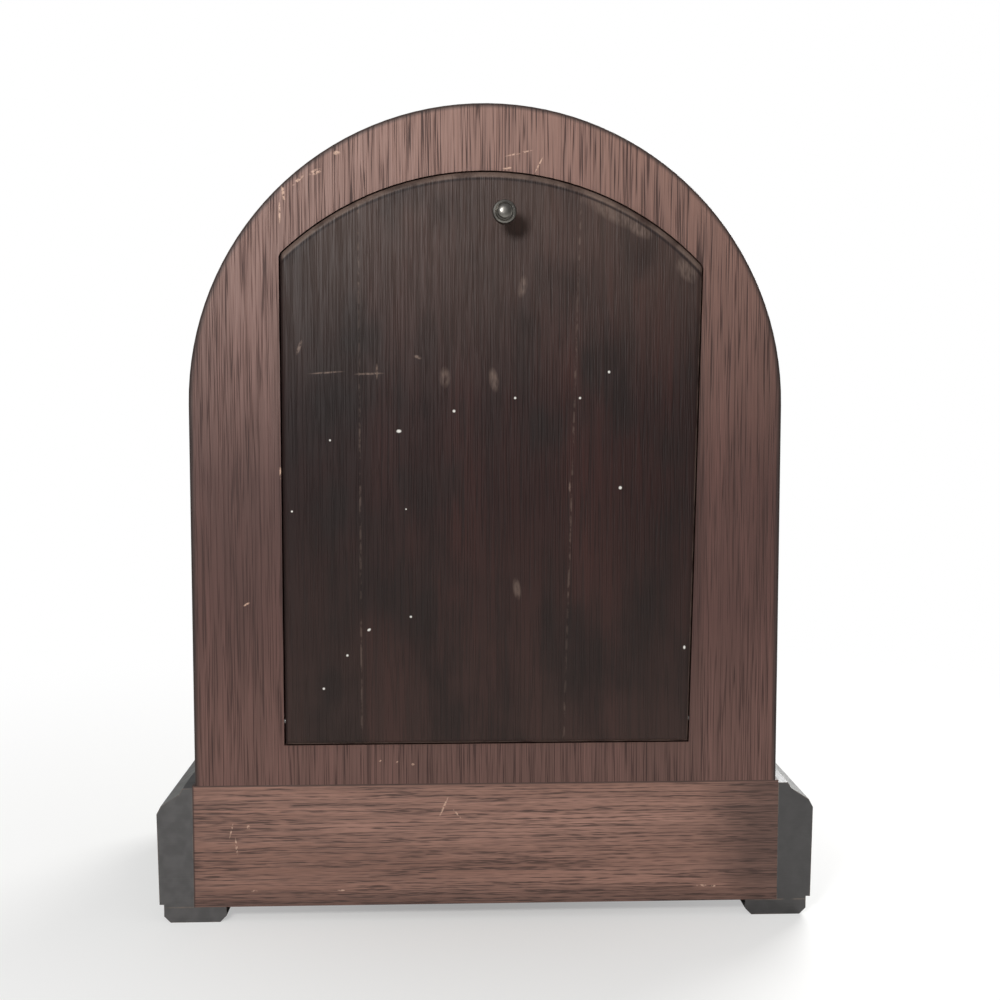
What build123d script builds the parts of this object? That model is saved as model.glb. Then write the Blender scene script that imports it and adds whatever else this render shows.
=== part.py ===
from build123d import *
import os
from math import atan2, cos, degrees, hypot, pi, radians, sin, sqrt

# Round-top shelf clock. Millimetres, +Z up, dial towards -Y, back door towards +Y.
# The clock stands on Z = 0, centred on X and Y.

# Clearances used all through
seat_gap = 0.1          # round piece fixed in a hole of the same body
running_gap = 0.06      # turning pivot in its hole
free_gap = 0.4          # moving piece beside a still one
overrun = 1.0           # how far a cutting shape runs past what it cuts

# Case
overall_height = 330.0
body_radius = 119.0
case_depth = 118.0
shell_wall = 8.0
front_panel_thickness = 10.0
back_panel_thickness = 9.0
panel_edge_round = 1.2

# Base
base_top_z = 56.8
foot_height = 6.3
base_side_step = 1.0        # the base is this much wider than the arch on each side
base_board_thickness = 12.0
rail_thickness = 16.0
plinth_top_z = 55.7
plinth_projection = 14.6
plinth_top_flat = 4.0
plinth_quirk_run = 1.4
plinth_quirk_drop = 2.4
plinth_slope_run = 7.4
plinth_slope_drop = 4.7
plinth_fillet_drop = 3.4
plinth_batter = 0.6
plinth_notch_depth = 1.8
plinth_notch_height = 1.2
foot_width = 25.3
foot_length = 30.0
foot_outer_setback = 2.4
foot_chamfer = 2.6
block_size = 18.0

# Back door and its turn latch
door_foot_z = 73.7
door_top_margin = 27.0          # board left above the door
door_side_margin = 37.0         # and beside it
door_latch_side_flare = 4.0     # the latch edge leans out by this much at the shoulder
door_arch_radius = 119.0
door_proud = 2.0
door_gap = 0.6
door_edge_round = 2.2
door_shoulder_round = 3.0
pivot_rise = 9.0                # pivot axis above the door's foot
pivot_depth = 2.0               # and in front of the back panel's face
pivot_pin_radius = 1.0
pivot_pin_length = 20.0
stop_width = 9.0
stop_depth = 5.0
stop_lap = 4.0
stop_height = 120.0
stop_rise = 50.0                # above the door's foot, clear of its tilt
knob_x = -6.2
knob_drop = 18.0                # below the door's head
knob_radius = 4.7
knob_reach = 18.0
knob_rim_length = 4.0
knob_neck_radius = 2.6
knob_cap_radius = 2.9
knob_cap_length = 2.2
knob_shank_radius = 2.0
washer_radius = 4.4
washer_thickness = 0.8
knob_round_share = 0.35
cap_round_share = 0.7
latch_length = 27.0
latch_width = 9.0
latch_thickness = 2.2
latch_nut_radius = 4.0
latch_nut_thickness = 2.6

# Dial, hands and bezel
dial_lap = 17.0                 # the dial's edge outside the hole in the front panel
dial_margin = 12.0              # and inside the bezel's rim
dial_thickness = 1.0
dial_pin_radius = 0.8
dial_pin_length = 5.0
dial_pin_head_radius = 1.5
dial_pin_head = 0.5
dial_pin_inset = 2.6
winding_hole_radius = 5.0
hand_thickness = 1.0
hour_hand_length = 36.0
minute_hand_margin = 8.5        # its tip inside the bezel's opening
hand_tail_length = 12.0
hand_width = 5.0
hand_boss_margin = 2.6
blade_width_share = 0.72
hand_gap = 0.8
hour_hand_turn = -56.0          # the hands stand near ten past ten
minute_hand_turn = 48.0
hand_nut_length = 2.4
hand_nut_margin = 1.6
bezel_outer_radius = 84.0
bezel_width = 18.5
bezel_depth = 10.5
bezel_edge_depth = 3.0
bezel_slope_run = 8.0
bezel_lip = 3.4
bezel_lip_depth = 3.0
bezel_crown_round = 1.6
glass_thickness = 2.2
glass_rise = 5.6
retainer_depth = 2.6
retainer_width = 2.6
hinge_offset = 4.6              # hinge axis outside the bezel's rim
hinge_lift = 3.1                # hinge axis in front of the panel
knuckle_radius = 2.6
knuckle_length = 8.0
knuckle_gap = 0.3
hinge_pin_radius = 1.1
hinge_leaf_width = 9.0
hinge_leaf_thickness = 1.2
tab_width = 6.0
tab_reach = 4.5
tab_thickness = 1.6
tab_round_share = 0.35

# Movement frame
movement_standoff = 9.0
plate_thickness = 2.0
plate_gap = 40.0
plate_half_width = 56.0
plate_above = 68.0
plate_below = 60.0
plate_corner = 7.0
pillar_radius = 3.6
pillar_pivot_radius = 2.4
pillar_inset = 6.5
pillar_nut_radius = 4.4
pillar_nut_thickness = 2.4
post_radius = 4.6
post_x = 48.0
post_z = 40.0
screw_radius = 1.6
screw_head_radius = 3.4
screw_head_thickness = 1.8
screw_bite = 7.0

# Wheels: tooth shapes as shares of the module and of the tooth pitch
wheel_root_share = 1.3
wheel_tip_share = 1.0
wheel_tooth_shares = (0.46, 0.14)
pinion_root_share = 1.35
pinion_tip_share = 0.5
pinion_tooth_shares = (0.36, 0.2)
wheel_thickness = 1.5
rim_width = 2.2
hub_radius = 3.4
spoke_width = 2.0
spoke_count = 4
pinion_margin = 1.0             # a pinion is longer than its wheel is thick, each way
arbor_radius = 0.85
stout_arbor_radius = 1.5
pivot_radius = 0.5
stout_pivot_radius = 0.9
end_shake = 0.3

# Time train
barrel_place = (31.0, -27.0)    # across and up from the centre arbor; the strike side mirrors it
barrel_module = 0.62
barrel_teeth = 76
barrel_pinion_teeth = 10
second_module = 0.5
second_teeth = 70
center_pinion_teeth = 10
train_module = 0.42
center_teeth = 84
third_teeth = 77
train_pinion_teeth = 7
third_direction = 60.0
escape_teeth = 35
escape_radius = 13.0
escape_tooth_height = 2.4
escape_tooth_lean_share = 0.3
anchor_distance_share = 1.414   # anchor above the escape wheel, as a share of its radius

# Planes of the wheels, measured back from the inner face of the front plate
second_plane = 3.0
tail_plane = 5.3
barrel_plane = 8.0
locking_plane = 14.0
escape_plane = 20.0
third_plane = 28.0
center_plane = 34.5

# Barrels and winding
barrel_flange = 2.4
barrel_length = 23.0
barrel_wall = 1.6
barrel_cap_thickness = 1.2
winding_arbor_radius = 3.0
winding_hub_radius = 5.6
winding_square = 4.2
winding_reach = 1.0             # the square stands this far out of the dial
spring_strip = 0.6
spring_pitch = 2.6
spring_half_turns = 9
ratchet_radius = 8.0
ratchet_teeth = 24
ratchet_tooth_height = 1.3
ratchet_thickness = 1.6
ratchet_standoff = 1.0
click_pivot_distance = 15.0
click_pivot_direction = 70.0
click_nose_direction = 20.0
click_width = 3.0
click_eye_radius = 2.6
click_screw_radius = 1.2
click_screw_head_radius = 2.2
click_screw_head = 1.0

# Motion work
motion_module = 0.6
cannon_teeth = 12
minute_wheel_teeth = 36
minute_pinion_teeth = 10
hour_wheel_teeth = 40
motion_direction = -90.0
motion_standoff = 1.0
cannon_length = 3.0
minute_pinion_length = 5.0
center_arbor_radius = 1.2
cannon_pipe_radius = 2.2
hour_pipe_wall = 0.9
stud_radius = 1.2

# Strike train
strike_pinion_teeth = 10
pin_wheel_direction = 80.0
pin_wheel_teeth = 72
pin_count = 8
pin_circle_radius = 13.0
pin_radius = 0.8
pin_length = 2.6
locking_direction = 75.0
locking_pinion_teeth = 8
locking_teeth = 64
fly_direction = 120.0
fly_pinion_teeth = 7
fly_radius = 10.0
fly_thickness = 0.8
fly_plane = 19.0
fly_length = 14.0
fly_sleeve_radius = 2.0
count_pinion_teeth = 8
count_teeth = 78
count_direction = 110.0
count_module = 0.5
count_standoff = 2.2
count_wheel_thickness = 1.2
count_disc_radius = 16.5
count_disc_thickness = 1.8
count_notch_width = 1.8
count_notch_depth = 3.0
count_hours = 12
count_stud_radius = 1.6
lever_pivot_place = (21.0, 20.0)    # from the count wheel's centre
lever_nose_direction = 60.0
lever_width = 3.0
lever_nose_width = 1.4

# Escapement and pendulum
anchor_thickness = 3.4
anchor_arm_width = 2.4
anchor_reach_deg = 44.0
anchor_lift_clearance = 1.5
pallet_length = 3.4
crutch_width = 2.2
crutch_thickness = 1.4
crutch_length = 42.0
crutch_standoff = 4.0
cock_half_width = 9.0
cock_flange_thickness = 2.0
cock_flange_height = 10.0
cock_arm_half_width = 5.0
cock_arm_height = 4.0
cock_drop = 5.0                 # underside of the arm above the anchor's axis
cock_tab_half_width = 3.6
cock_tab_thickness = 2.0
cock_tab_offset = 6.4
cock_hole_radius = 3.0
cock_screw_share = 0.7
cock_screw_x = 6.0
cock_screw_radius = 1.0
cock_screw_head_radius = 1.9
cock_screw_head = 1.2
pendulum_standoff = 13.0
swing_degrees = 4.0
strip_thickness = 0.3
strip_width = 4.0
strip_above = 12.0
strip_below = 9.0
strip_pin_radius = 0.7
strip_pin_length = 7.0
chop_half_width = 2.0
chop_length = 6.0
chop_depth = 5.0
rod_radius = 1.3
pendulum_length = 148.0
bob_radius = 20.0
bob_edge = 1.6
bob_thickness = 10.0
rating_nut_radius = 4.5
rating_nut_length = 4.0
rod_tail = 3.5

# Hammer and gong
hammer_place = (-2.0, -46.0)
hammer_hub_radius = 3.0
hammer_shank_width = 2.0
hammer_head_radius = 5.0
hammer_head_length = 14.0
tail_width = 2.4
tail_thickness = 1.6
pin_wheel_tail_direction = -45.0
gong_plane = 19.0
gong_height = 54.2              # middle of the coil above the base board
gong_wire_radius = 1.5
gong_inner_radius = 8.0
gong_half_pitch = 3.5
gong_half_turns = 8
gong_strike_gap = 1.0
gong_tail = 6.0
gong_end_length = 3.5
gong_head_height = 3.4
gong_head_inner = 3.0
gong_head_outer = 1.8
gong_post_radius = 4.0
gong_post_offset = 8.0
gong_flange_radius = 13.0
gong_flange_thickness = 5.0

# Planes along Y, front to back
base_front_step = base_side_step
front_y = -(case_depth + door_proud + knob_reach - base_front_step - plinth_projection) / 2
panel_back_y = front_y + front_panel_thickness
case_back_y = front_y + case_depth
back_inner_y = case_back_y - back_panel_thickness
door_face_y = case_back_y + door_proud
dial_front_y = front_y - dial_thickness
plate_front_y = panel_back_y + movement_standoff
inside_y = plate_front_y + plate_thickness
inside_end_y = inside_y + plate_gap
plate_back_y = inside_end_y + plate_thickness
rail_front_y = case_back_y - rail_thickness
base_front_y = front_y - base_front_step

# Heights and places
spring_z = overall_height - body_radius
base_half_width = body_radius + base_side_step
door_half_width = body_radius - door_side_margin
door_head_z = overall_height - door_top_margin
door_arch_z = door_head_z - door_arch_radius
knob_z = door_head_z - knob_drop
pivot_y = case_back_y - pivot_depth
pivot_z = door_foot_z + pivot_rise


def step_from(place, distance, direction):
    """A place at a distance and direction, in degrees, from another."""
    turn = radians(direction)
    return (place[0] + distance * cos(turn), place[1] + distance * sin(turn))


def heading(start, end):
    """Direction in degrees from one place to another."""
    return degrees(atan2(end[1] - start[1], end[0] - start[0]))


def meeting_place(first, first_distance, second, second_distance):
    """The place at two given distances from two others, on the left of the way between them."""
    span = hypot(second[0] - first[0], second[1] - first[1])
    along = (first_distance**2 - second_distance**2 + span**2) / (2 * span)
    aside = sqrt(first_distance**2 - along**2)
    way = ((second[0] - first[0]) / span, (second[1] - first[1]) / span)
    return (first[0] + along * way[0] - aside * way[1], first[1] + along * way[1] + aside * way[0])


def mesh_distance(module, teeth, other_teeth):
    """Distance between the arbors of two wheels in mesh."""
    return module * (teeth + other_teeth) / 2


# Arbor places across X and Z, from the tooth counts
center = (0.0, spring_z)
time_barrel_at = (barrel_place[0], spring_z + barrel_place[1])
strike_barrel_at = (-barrel_place[0], spring_z + barrel_place[1])
second_at = meeting_place(
    center, mesh_distance(second_module, second_teeth, center_pinion_teeth),
    time_barrel_at, mesh_distance(barrel_module, barrel_teeth, barrel_pinion_teeth))
third_at = step_from(center, mesh_distance(train_module, center_teeth, train_pinion_teeth), third_direction)
escape_distance = mesh_distance(train_module, third_teeth, train_pinion_teeth)
escape_at = (center[0], third_at[1] + sqrt(escape_distance**2 - (third_at[0] - center[0])**2))
anchor_at = (center[0], escape_at[1] + escape_radius * anchor_distance_share)
motion_distance = mesh_distance(motion_module, cannon_teeth, minute_wheel_teeth)
hour_module = 2 * motion_distance / (minute_pinion_teeth + hour_wheel_teeth)
minute_at = step_from(center, motion_distance, motion_direction)
pin_wheel_at = step_from(
    strike_barrel_at, mesh_distance(barrel_module, barrel_teeth, strike_pinion_teeth), pin_wheel_direction)
locking_at = step_from(
    pin_wheel_at, mesh_distance(second_module, pin_wheel_teeth, locking_pinion_teeth), locking_direction)
fly_at = step_from(locking_at, mesh_distance(train_module, locking_teeth, fly_pinion_teeth), fly_direction)
count_at = step_from(
    pin_wheel_at, mesh_distance(count_module, count_pinion_teeth, count_teeth), count_direction)
hammer_at = (hammer_place[0], spring_z + hammer_place[1])
lever_at = (count_at[0] + lever_pivot_place[0], count_at[1] + lever_pivot_place[1])

# Planes of the pendulum and the gong
pendulum_y = plate_back_y + pendulum_standoff
gong_y = inside_y + gong_plane
hammer_head_z = base_top_z + gong_height
gong_left_x = hammer_at[0] + hammer_head_length / 2 + gong_strike_gap
gong_outer_left = gong_inner_radius + (gong_half_turns - 2) * gong_half_pitch + gong_wire_radius
gong_at = (gong_left_x + gong_outer_left, hammer_head_z)

# Hands and bezel, worked out
hour_pipe_bore = cannon_pipe_radius + running_gap
hour_pipe_radius = hour_pipe_bore + hour_pipe_wall
hour_hand_y = dial_front_y - hand_gap - hand_thickness
minute_hand_y = hour_hand_y - hand_gap - hand_thickness
dial_radius = bezel_outer_radius - dial_margin
dial_hole_radius = dial_radius - dial_lap
bezel_inner_radius = bezel_outer_radius - bezel_width
minute_hand_length = bezel_inner_radius - minute_hand_margin
bezel_crown_radius = bezel_outer_radius - bezel_slope_run
lip_depth = bezel_depth - bezel_lip_depth
rebate_radius = bezel_inner_radius + bezel_lip
hinge_x = bezel_outer_radius + hinge_offset
hinge_y = front_y - hinge_lift

# Barrels and wheels, worked out
barrel_y = inside_y + barrel_plane
barrel_end_y = barrel_y + barrel_flange + barrel_length
drum_radius = barrel_module * (barrel_teeth / 2 - wheel_root_share) - rim_width / 2
second_y = inside_y + second_plane
center_y = inside_y + center_plane
third_y = inside_y + third_plane
escape_y = inside_y + escape_plane
cannon_y = plate_front_y - motion_standoff - cannon_length
minute_wheel_y = plate_front_y - motion_standoff - wheel_thickness - end_shake
minute_pinion_y = minute_wheel_y - minute_pinion_length
hour_wheel_y = minute_pinion_y + pinion_margin

# Pendulum and count wheel, worked out
crutch_y = plate_back_y + crutch_standoff
cock_screw_z = anchor_at[1] + cock_drop + cock_flange_height * cock_screw_share
strip_pin_z = anchor_at[1] + cock_drop + cock_arm_height + free_gap + strip_pin_radius
bob_z = anchor_at[1] - pendulum_length
rod_foot_z = bob_z - bob_radius - rating_nut_length - rod_tail
locking_y = inside_y + locking_plane
fly_y = inside_y + fly_plane
count_y = plate_back_y + count_standoff
count_end_y = count_y + count_wheel_thickness + count_disc_thickness


def slab(x0, x1, y0, y1, z0, z1):
    """A block between six planes."""
    size = Box(abs(x1 - x0), abs(y1 - y0), abs(z1 - z0))
    return Pos((x0 + x1) / 2, (y0 + y1) / 2, (z0 + z1) / 2) * size


def prism(sketch, y0, y1):
    """A sketch drawn across X and Z, made solid from y0 back to y1."""
    plane = Plane(origin=(0, y1, 0), x_dir=(1, 0, 0), z_dir=(0, -1, 0))
    return extrude(plane * sketch, amount=y1 - y0, dir=(0, -1, 0))


def pin_y(place, y0, y1, radius):
    """A round pin along Y."""
    return prism(Pos(*place) * Circle(radius), y0, y1)


def pin_z(x, y, z0, z1, radius):
    """A round pin along Z."""
    return Pos(x, y, (z0 + z1) / 2) * Cylinder(radius, z1 - z0)


def pin_x(x0, x1, y, z, radius):
    """A round pin along X."""
    return Pos((x0 + x1) / 2, y, z) * Rot(0, 90, 0) * Cylinder(radius, x1 - x0)


def outline(points):
    """A flat face inside straight edges."""
    return make_face(Polyline(*points, close=True).edges())


def bar(start, end, width):
    """A straight bar with round ends, drawn flat."""
    length = hypot(end[0] - start[0], end[1] - start[1])
    middle = ((start[0] + end[0]) / 2, (start[1] + end[1]) / 2)
    return Pos(*middle) * Rot(0, 0, heading(start, end)) * SlotCenterToCenter(length, width)


def arch_face(half_width, foot_z):
    """The outline of the case: straight sides under a half circle."""
    left, right = (-half_width, spring_z), (half_width, spring_z)
    sides = Polyline(left, (-half_width, foot_z), (half_width, foot_z), right)
    arch = ThreePointArc(right, (0, spring_z + half_width), left)
    return make_face([*sides.edges(), arch])


def door_outline(margin):
    """The door's outline, grown by a margin for its opening."""
    pivot_edge_x = door_half_width + margin
    latch_foot_x = -door_half_width - margin
    latch_head_x = latch_foot_x - door_latch_side_flare
    radius = door_arch_radius + margin
    foot_z = door_foot_z - margin
    pivot_head = (pivot_edge_x, door_arch_z + sqrt(radius**2 - pivot_edge_x**2))
    latch_head = (latch_head_x, door_arch_z + sqrt(radius**2 - latch_head_x**2))
    sides = Polyline(latch_head, (latch_foot_x, foot_z), (pivot_edge_x, foot_z), pivot_head)
    arch = ThreePointArc(pivot_head, (0, door_arch_z + radius), latch_head)
    face = make_face([*sides.edges(), arch])
    shoulders = face.vertices().sort_by(Axis.Y)[-2:]
    return fillet(shoulders, door_shoulder_round + margin)


def toothed_face(teeth, module, first_tooth, root_share, tip_share, tooth_shares):
    """A disc with straight-flanked teeth, one of them at the angle first_tooth."""
    pitch_radius = module * teeth / 2
    root = pitch_radius - root_share * module
    tip = pitch_radius + tip_share * module
    step = 2 * pi / teeth
    foot, nose = (share * step / 2 for share in tooth_shares)
    rise = ((root, -foot), (pitch_radius, -foot), (tip, -nose))
    fall = ((tip, nose), (pitch_radius, foot), (root, foot))
    points = []
    for n in range(teeth):
        middle = radians(first_tooth) + n * step
        points += [(r * cos(middle + a), r * sin(middle + a)) for r, a in rise + fall]
    return outline(points)


def wheel_disc(teeth, module, first_tooth):
    """A wheel before its crossings are cut."""
    return toothed_face(teeth, module, first_tooth, wheel_root_share, wheel_tip_share, wheel_tooth_shares)


def wheel_face(teeth, module, first_tooth):
    """A wheel with its crossings cut out."""
    face = wheel_disc(teeth, module, first_tooth)
    inner = module * teeth / 2 - wheel_root_share * module - rim_width
    windows = Circle(inner) - Circle(hub_radius)
    for n in range(spoke_count):
        spoke = Pos((inner + overrun) / 2, 0) * Rectangle(inner + overrun, spoke_width)
        windows -= Rot(0, 0, first_tooth + 360 * n / spoke_count) * spoke
    return face - windows


def wheel(place, plane_y, teeth, module, toward):
    """A wheel with one tooth towards a place."""
    face = wheel_face(teeth, module, heading(place, toward))
    return prism(Pos(*place) * face, plane_y, plane_y + wheel_thickness)


def pinion(place, y0, y1, teeth, module, away_from, tooth_there=False):
    """A pinion with a gap, or a tooth, towards the wheel that it meets."""
    turn = heading(place, away_from) + (0 if tooth_there else 180 / teeth)
    face = toothed_face(teeth, module, turn, pinion_root_share, pinion_tip_share, pinion_tooth_shares)
    return prism(Pos(*place) * face, y0, y1)


def arbor(place, radius, pivot):
    """An arbor between the plates, with a pivot in each plate."""
    body = pin_y(place, inside_y + end_shake, inside_end_y - end_shake, radius)
    return body + pin_y(place, plate_front_y, plate_back_y, pivot)


def rise_at_half(radius, rise):
    """Height of a shallow dome half way out from its middle."""
    sphere = (radius**2 + rise**2) / (2 * rise)
    return rise - (sphere - sqrt(sphere**2 - (radius / 2)**2))


def half_turns(first_radius, half_pitch, count):
    """Half circles that wind outwards: centre, radius and side of each."""
    rows = []
    for n in range(count):
        rows.append((half_pitch * (n % 2), first_radius + n * half_pitch, 1 if n % 2 == 0 else -1))
    return rows


def half_circle(middle, radius, side):
    """A half circle over (side 1) or under (side -1) its centre, wound on from its start."""
    return ThreePointArc((middle + side * radius, 0), (middle, side * radius), (middle - side * radius, 0))


# Case and base

def make_case_shell():
    inner = arch_face(body_radius - shell_wall, base_top_z - overrun)
    return prism(arch_face(body_radius, base_top_z) - inner, panel_back_y, back_inner_y)


def make_front_panel():
    face = arch_face(body_radius, base_top_z) - Pos(*center) * Circle(dial_hole_radius)
    panel = prism(face, front_y, panel_back_y)
    for x, z in post_places():
        panel -= pin_y((x, z), panel_back_y - screw_bite, panel_back_y, screw_radius + seat_gap)
    for place in dial_pin_places():
        panel -= pin_y(place, front_y, front_y + dial_pin_length, dial_pin_radius + seat_gap)
    return panel


def make_back_panel():
    face = arch_face(body_radius, base_top_z) - door_outline(door_gap)
    panel = prism(face, back_inner_y, case_back_y)
    rim = panel.faces().sort_by(Axis.Y)[-1].outer_wire().edges()
    rim = [edge for edge in rim if edge.center().Z > base_top_z + overrun]
    panel = fillet(rim, panel_edge_round)
    for x0, x1 in pivot_pin_spans():
        panel -= pin_x(x0, x1, pivot_y, pivot_z, pivot_pin_radius + seat_gap)
    return panel


def make_base_board():
    return slab(-base_half_width, base_half_width, base_front_y, rail_front_y,
                base_top_z - base_board_thickness, base_top_z)


def make_back_rail():
    return slab(-base_half_width, base_half_width, rail_front_y, case_back_y, foot_height, base_top_z)


def plinth_profile():
    """The plinth's section: distance out from the base, and height."""
    quirk = plinth_top_flat + plinth_quirk_run
    slope = quirk + plinth_slope_run
    quirk_z = plinth_top_z - plinth_quirk_drop
    slope_z = quirk_z - plinth_slope_drop
    face_z = slope_z - plinth_fillet_drop
    foot = plinth_projection - plinth_batter
    notch_z = foot_height + plinth_notch_height
    return [(0, foot_height), (foot - plinth_notch_depth, foot_height), (foot - plinth_notch_depth, notch_z),
            (foot, notch_z), (plinth_projection, face_z), (slope, slope_z), (quirk, quirk_z),
            (plinth_top_flat, plinth_top_z), (0, plinth_top_z)]


def mitre_wedge(side, front_piece):
    """The corner that a mitre takes off the front piece or off a side piece."""
    reach = plinth_projection + overrun
    inner = (side * base_half_width, base_front_y)
    outer = (side * (base_half_width + reach), base_front_y - reach)
    third = (outer[0], inner[1]) if front_piece else (inner[0], outer[1])
    return extrude(outline([inner, outer, third]), amount=overall_height)


def make_side_plinth(side):
    section = outline([(side * (base_half_width + out), z) for out, z in plinth_profile()])
    piece = prism(section, base_front_y - plinth_projection, case_back_y)
    return piece - mitre_wedge(side, False)


def make_front_plinth():
    length = base_half_width + plinth_projection
    plane = Plane(origin=(-length, base_front_y, 0), x_dir=(0, -1, 0), z_dir=(-1, 0, 0))
    piece = extrude(plane * outline(plinth_profile()), amount=2 * length, dir=(1, 0, 0))
    return piece - mitre_wedge(1, True) - mitre_wedge(-1, True)


def make_feet():
    outer_x = base_half_width + plinth_projection - foot_outer_setback
    inner_x = outer_x - foot_width
    front = base_front_y - plinth_projection + foot_outer_setback
    feet = []
    for side in (-1, 1):
        for y0, y1 in ((front, front + foot_length), (case_back_y - foot_length, case_back_y)):
            foot = slab(side * inner_x, side * outer_x, y0, y1, 0, foot_height)
            low = foot.edges().filter_by(Axis.Y).group_by(Axis.Z)[0]
            feet.append(chamfer(low, foot_chamfer))
    return Compound(feet)


def make_glue_blocks():
    blocks = []
    for side in (-1, 1):
        for y0, way in ((base_front_y, 1), (rail_front_y, -1)):
            blocks.append(slab(side * base_half_width, side * (base_half_width - block_size), y0,
                               y0 + way * block_size, foot_height, base_top_z - base_board_thickness))
    return Compound(blocks)


# Back door

def pivot_pin_spans():
    """Ends of the pins that the door tilts on: half in the door's foot, half in the panel."""
    half = pivot_pin_length / 2
    middle = door_half_width + door_gap / 2
    return [(side * middle - half, side * middle + half) for side in (-1, 1)]


def make_back_door():
    door = prism(door_outline(0), back_inner_y, door_face_y)
    rim = door.faces().sort_by(Axis.Y)[-1].outer_wire().edges()
    door = fillet(rim, door_edge_round)
    for x0, x1 in pivot_pin_spans():
        door -= pin_x(x0 - running_gap, x1 + running_gap, pivot_y, pivot_z, pivot_pin_radius + running_gap)
    return door - pin_y((knob_x, knob_z), back_inner_y, door_face_y, knob_shank_radius + running_gap)


def make_pivot_pins():
    return Compound([pin_x(x0, x1, pivot_y, pivot_z, pivot_pin_radius) for x0, x1 in pivot_pin_spans()])


def make_door_stop():
    edge_x = -door_half_width + stop_lap
    foot_z = door_foot_z + stop_rise
    return slab(edge_x - stop_width, edge_x, back_inner_y - stop_depth, back_inner_y,
                foot_z, foot_z + stop_height)


def make_door_knob():
    """A turned knob: washer, neck, round rim and a small domed cap, on a shank through the door."""
    at = (knob_x, knob_z)
    tip_y = door_face_y + knob_reach
    cap_y = tip_y - knob_cap_length
    rim_y = cap_y - knob_rim_length
    shank_end_y = back_inner_y - latch_thickness - latch_nut_thickness - free_gap
    knob = pin_y(at, shank_end_y, rim_y, knob_shank_radius)
    knob += pin_y(at, door_face_y + free_gap, door_face_y + free_gap + washer_thickness, washer_radius)
    knob += pin_y(at, door_face_y + free_gap, rim_y, knob_neck_radius)
    rim = pin_y(at, rim_y, cap_y, knob_radius)
    knob += fillet(rim.edges().filter_by(GeomType.CIRCLE), knob_rim_length * knob_round_share)
    cap = pin_y(at, cap_y - overrun, tip_y, knob_cap_radius)
    cap_edge = cap.edges().filter_by(GeomType.CIRCLE).sort_by(Axis.Y)[-1]
    return knob + fillet(cap_edge, knob_cap_length * cap_round_share)


def make_door_latch():
    """The tongue on the shank, turned level so that the door is free."""
    at = (knob_x, knob_z)
    end = (knob_x + latch_length - latch_width / 2, knob_z)
    y1 = back_inner_y - free_gap
    face = bar(at, end, latch_width) - Pos(*at) * Circle(knob_shank_radius + seat_gap)
    return prism(face, y1 - latch_thickness, y1)


def make_latch_nut():
    y1 = back_inner_y - free_gap - latch_thickness
    face = RegularPolygon(latch_nut_radius, 6) - Circle(knob_shank_radius + seat_gap)
    return prism(Pos(knob_x, knob_z) * face, y1 - latch_nut_thickness, y1)


# Dial, hands and bezel

def dial_pin_places():
    radius = dial_radius - dial_pin_inset
    return [step_from(center, radius, 45 + 90 * n) for n in range(4)]


def make_dial():
    face = Pos(*center) * (Circle(dial_radius) - Circle(hour_pipe_radius + 2 * free_gap))
    for place in (time_barrel_at, strike_barrel_at):
        face -= Pos(*place) * Circle(winding_hole_radius)
    for place in dial_pin_places():
        face -= Pos(*place) * Circle(dial_pin_radius + seat_gap)
    return prism(face, dial_front_y, front_y)


def make_dial_pins():
    pins = []
    for place in dial_pin_places():
        pin = pin_y(place, dial_front_y, front_y + dial_pin_length, dial_pin_radius)
        pins.append(pin + pin_y(place, dial_front_y - dial_pin_head, dial_front_y, dial_pin_head_radius))
    return Compound(pins)


def hand_face(length, hole_radius, turn):
    """A tapered hand, pointing up and then turned clockwise."""
    boss = hole_radius + hand_boss_margin
    half = hand_width / 2
    blade = outline([(-half / 2, -hand_tail_length), (half / 2, -hand_tail_length), (half / 2, 0),
                     (half, length * blade_width_share), (0, length), (-half, length * blade_width_share),
                     (-half / 2, 0)])
    face = blade + Circle(boss) - Circle(hole_radius)
    return Pos(*center) * Rot(0, 0, -turn) * face


def make_hour_hand():
    face = hand_face(hour_hand_length, hour_pipe_radius + seat_gap, hour_hand_turn)
    return prism(face, hour_hand_y, hour_hand_y + hand_thickness)


def make_minute_hand():
    face = hand_face(minute_hand_length, center_arbor_radius + seat_gap, minute_hand_turn)
    return prism(face, minute_hand_y, minute_hand_y + hand_thickness)


def make_hand_nut():
    outer = center_arbor_radius + seat_gap + hand_nut_margin
    face = Circle(outer) - Circle(center_arbor_radius + seat_gap)
    return prism(Pos(*center) * face, minute_hand_y - hand_nut_length, minute_hand_y)


def turned(points):
    """A ring turned about the dial's axis from a section of radius and depth in front of the panel."""
    plane = Plane(origin=(center[0], front_y, center[1]), x_dir=(1, 0, 0), z_dir=(0, 0, 1))
    section = plane * outline([(radius, -depth) for radius, depth in points])
    return revolve(section, axis=Axis((center[0], front_y, center[1]), (0, 1, 0)))


def knuckle(z0, z1):
    outer = pin_z(hinge_x, hinge_y, z0, z1, knuckle_radius)
    return outer - pin_z(hinge_x, hinge_y, z0, z1, hinge_pin_radius + running_gap)


def bezel_tab():
    """A small pull soldered to the bezel's left side."""
    rim_x = -bezel_outer_radius
    y1 = front_y - free_gap
    tab = slab(rim_x - tab_reach, rim_x + tab_reach, y1 - tab_thickness, y1,
               spring_z - tab_width / 2, spring_z + tab_width / 2)
    return fillet(tab.edges().filter_by(Axis.Y).sort_by(Axis.X)[:2], tab_width * tab_round_share)


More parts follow.
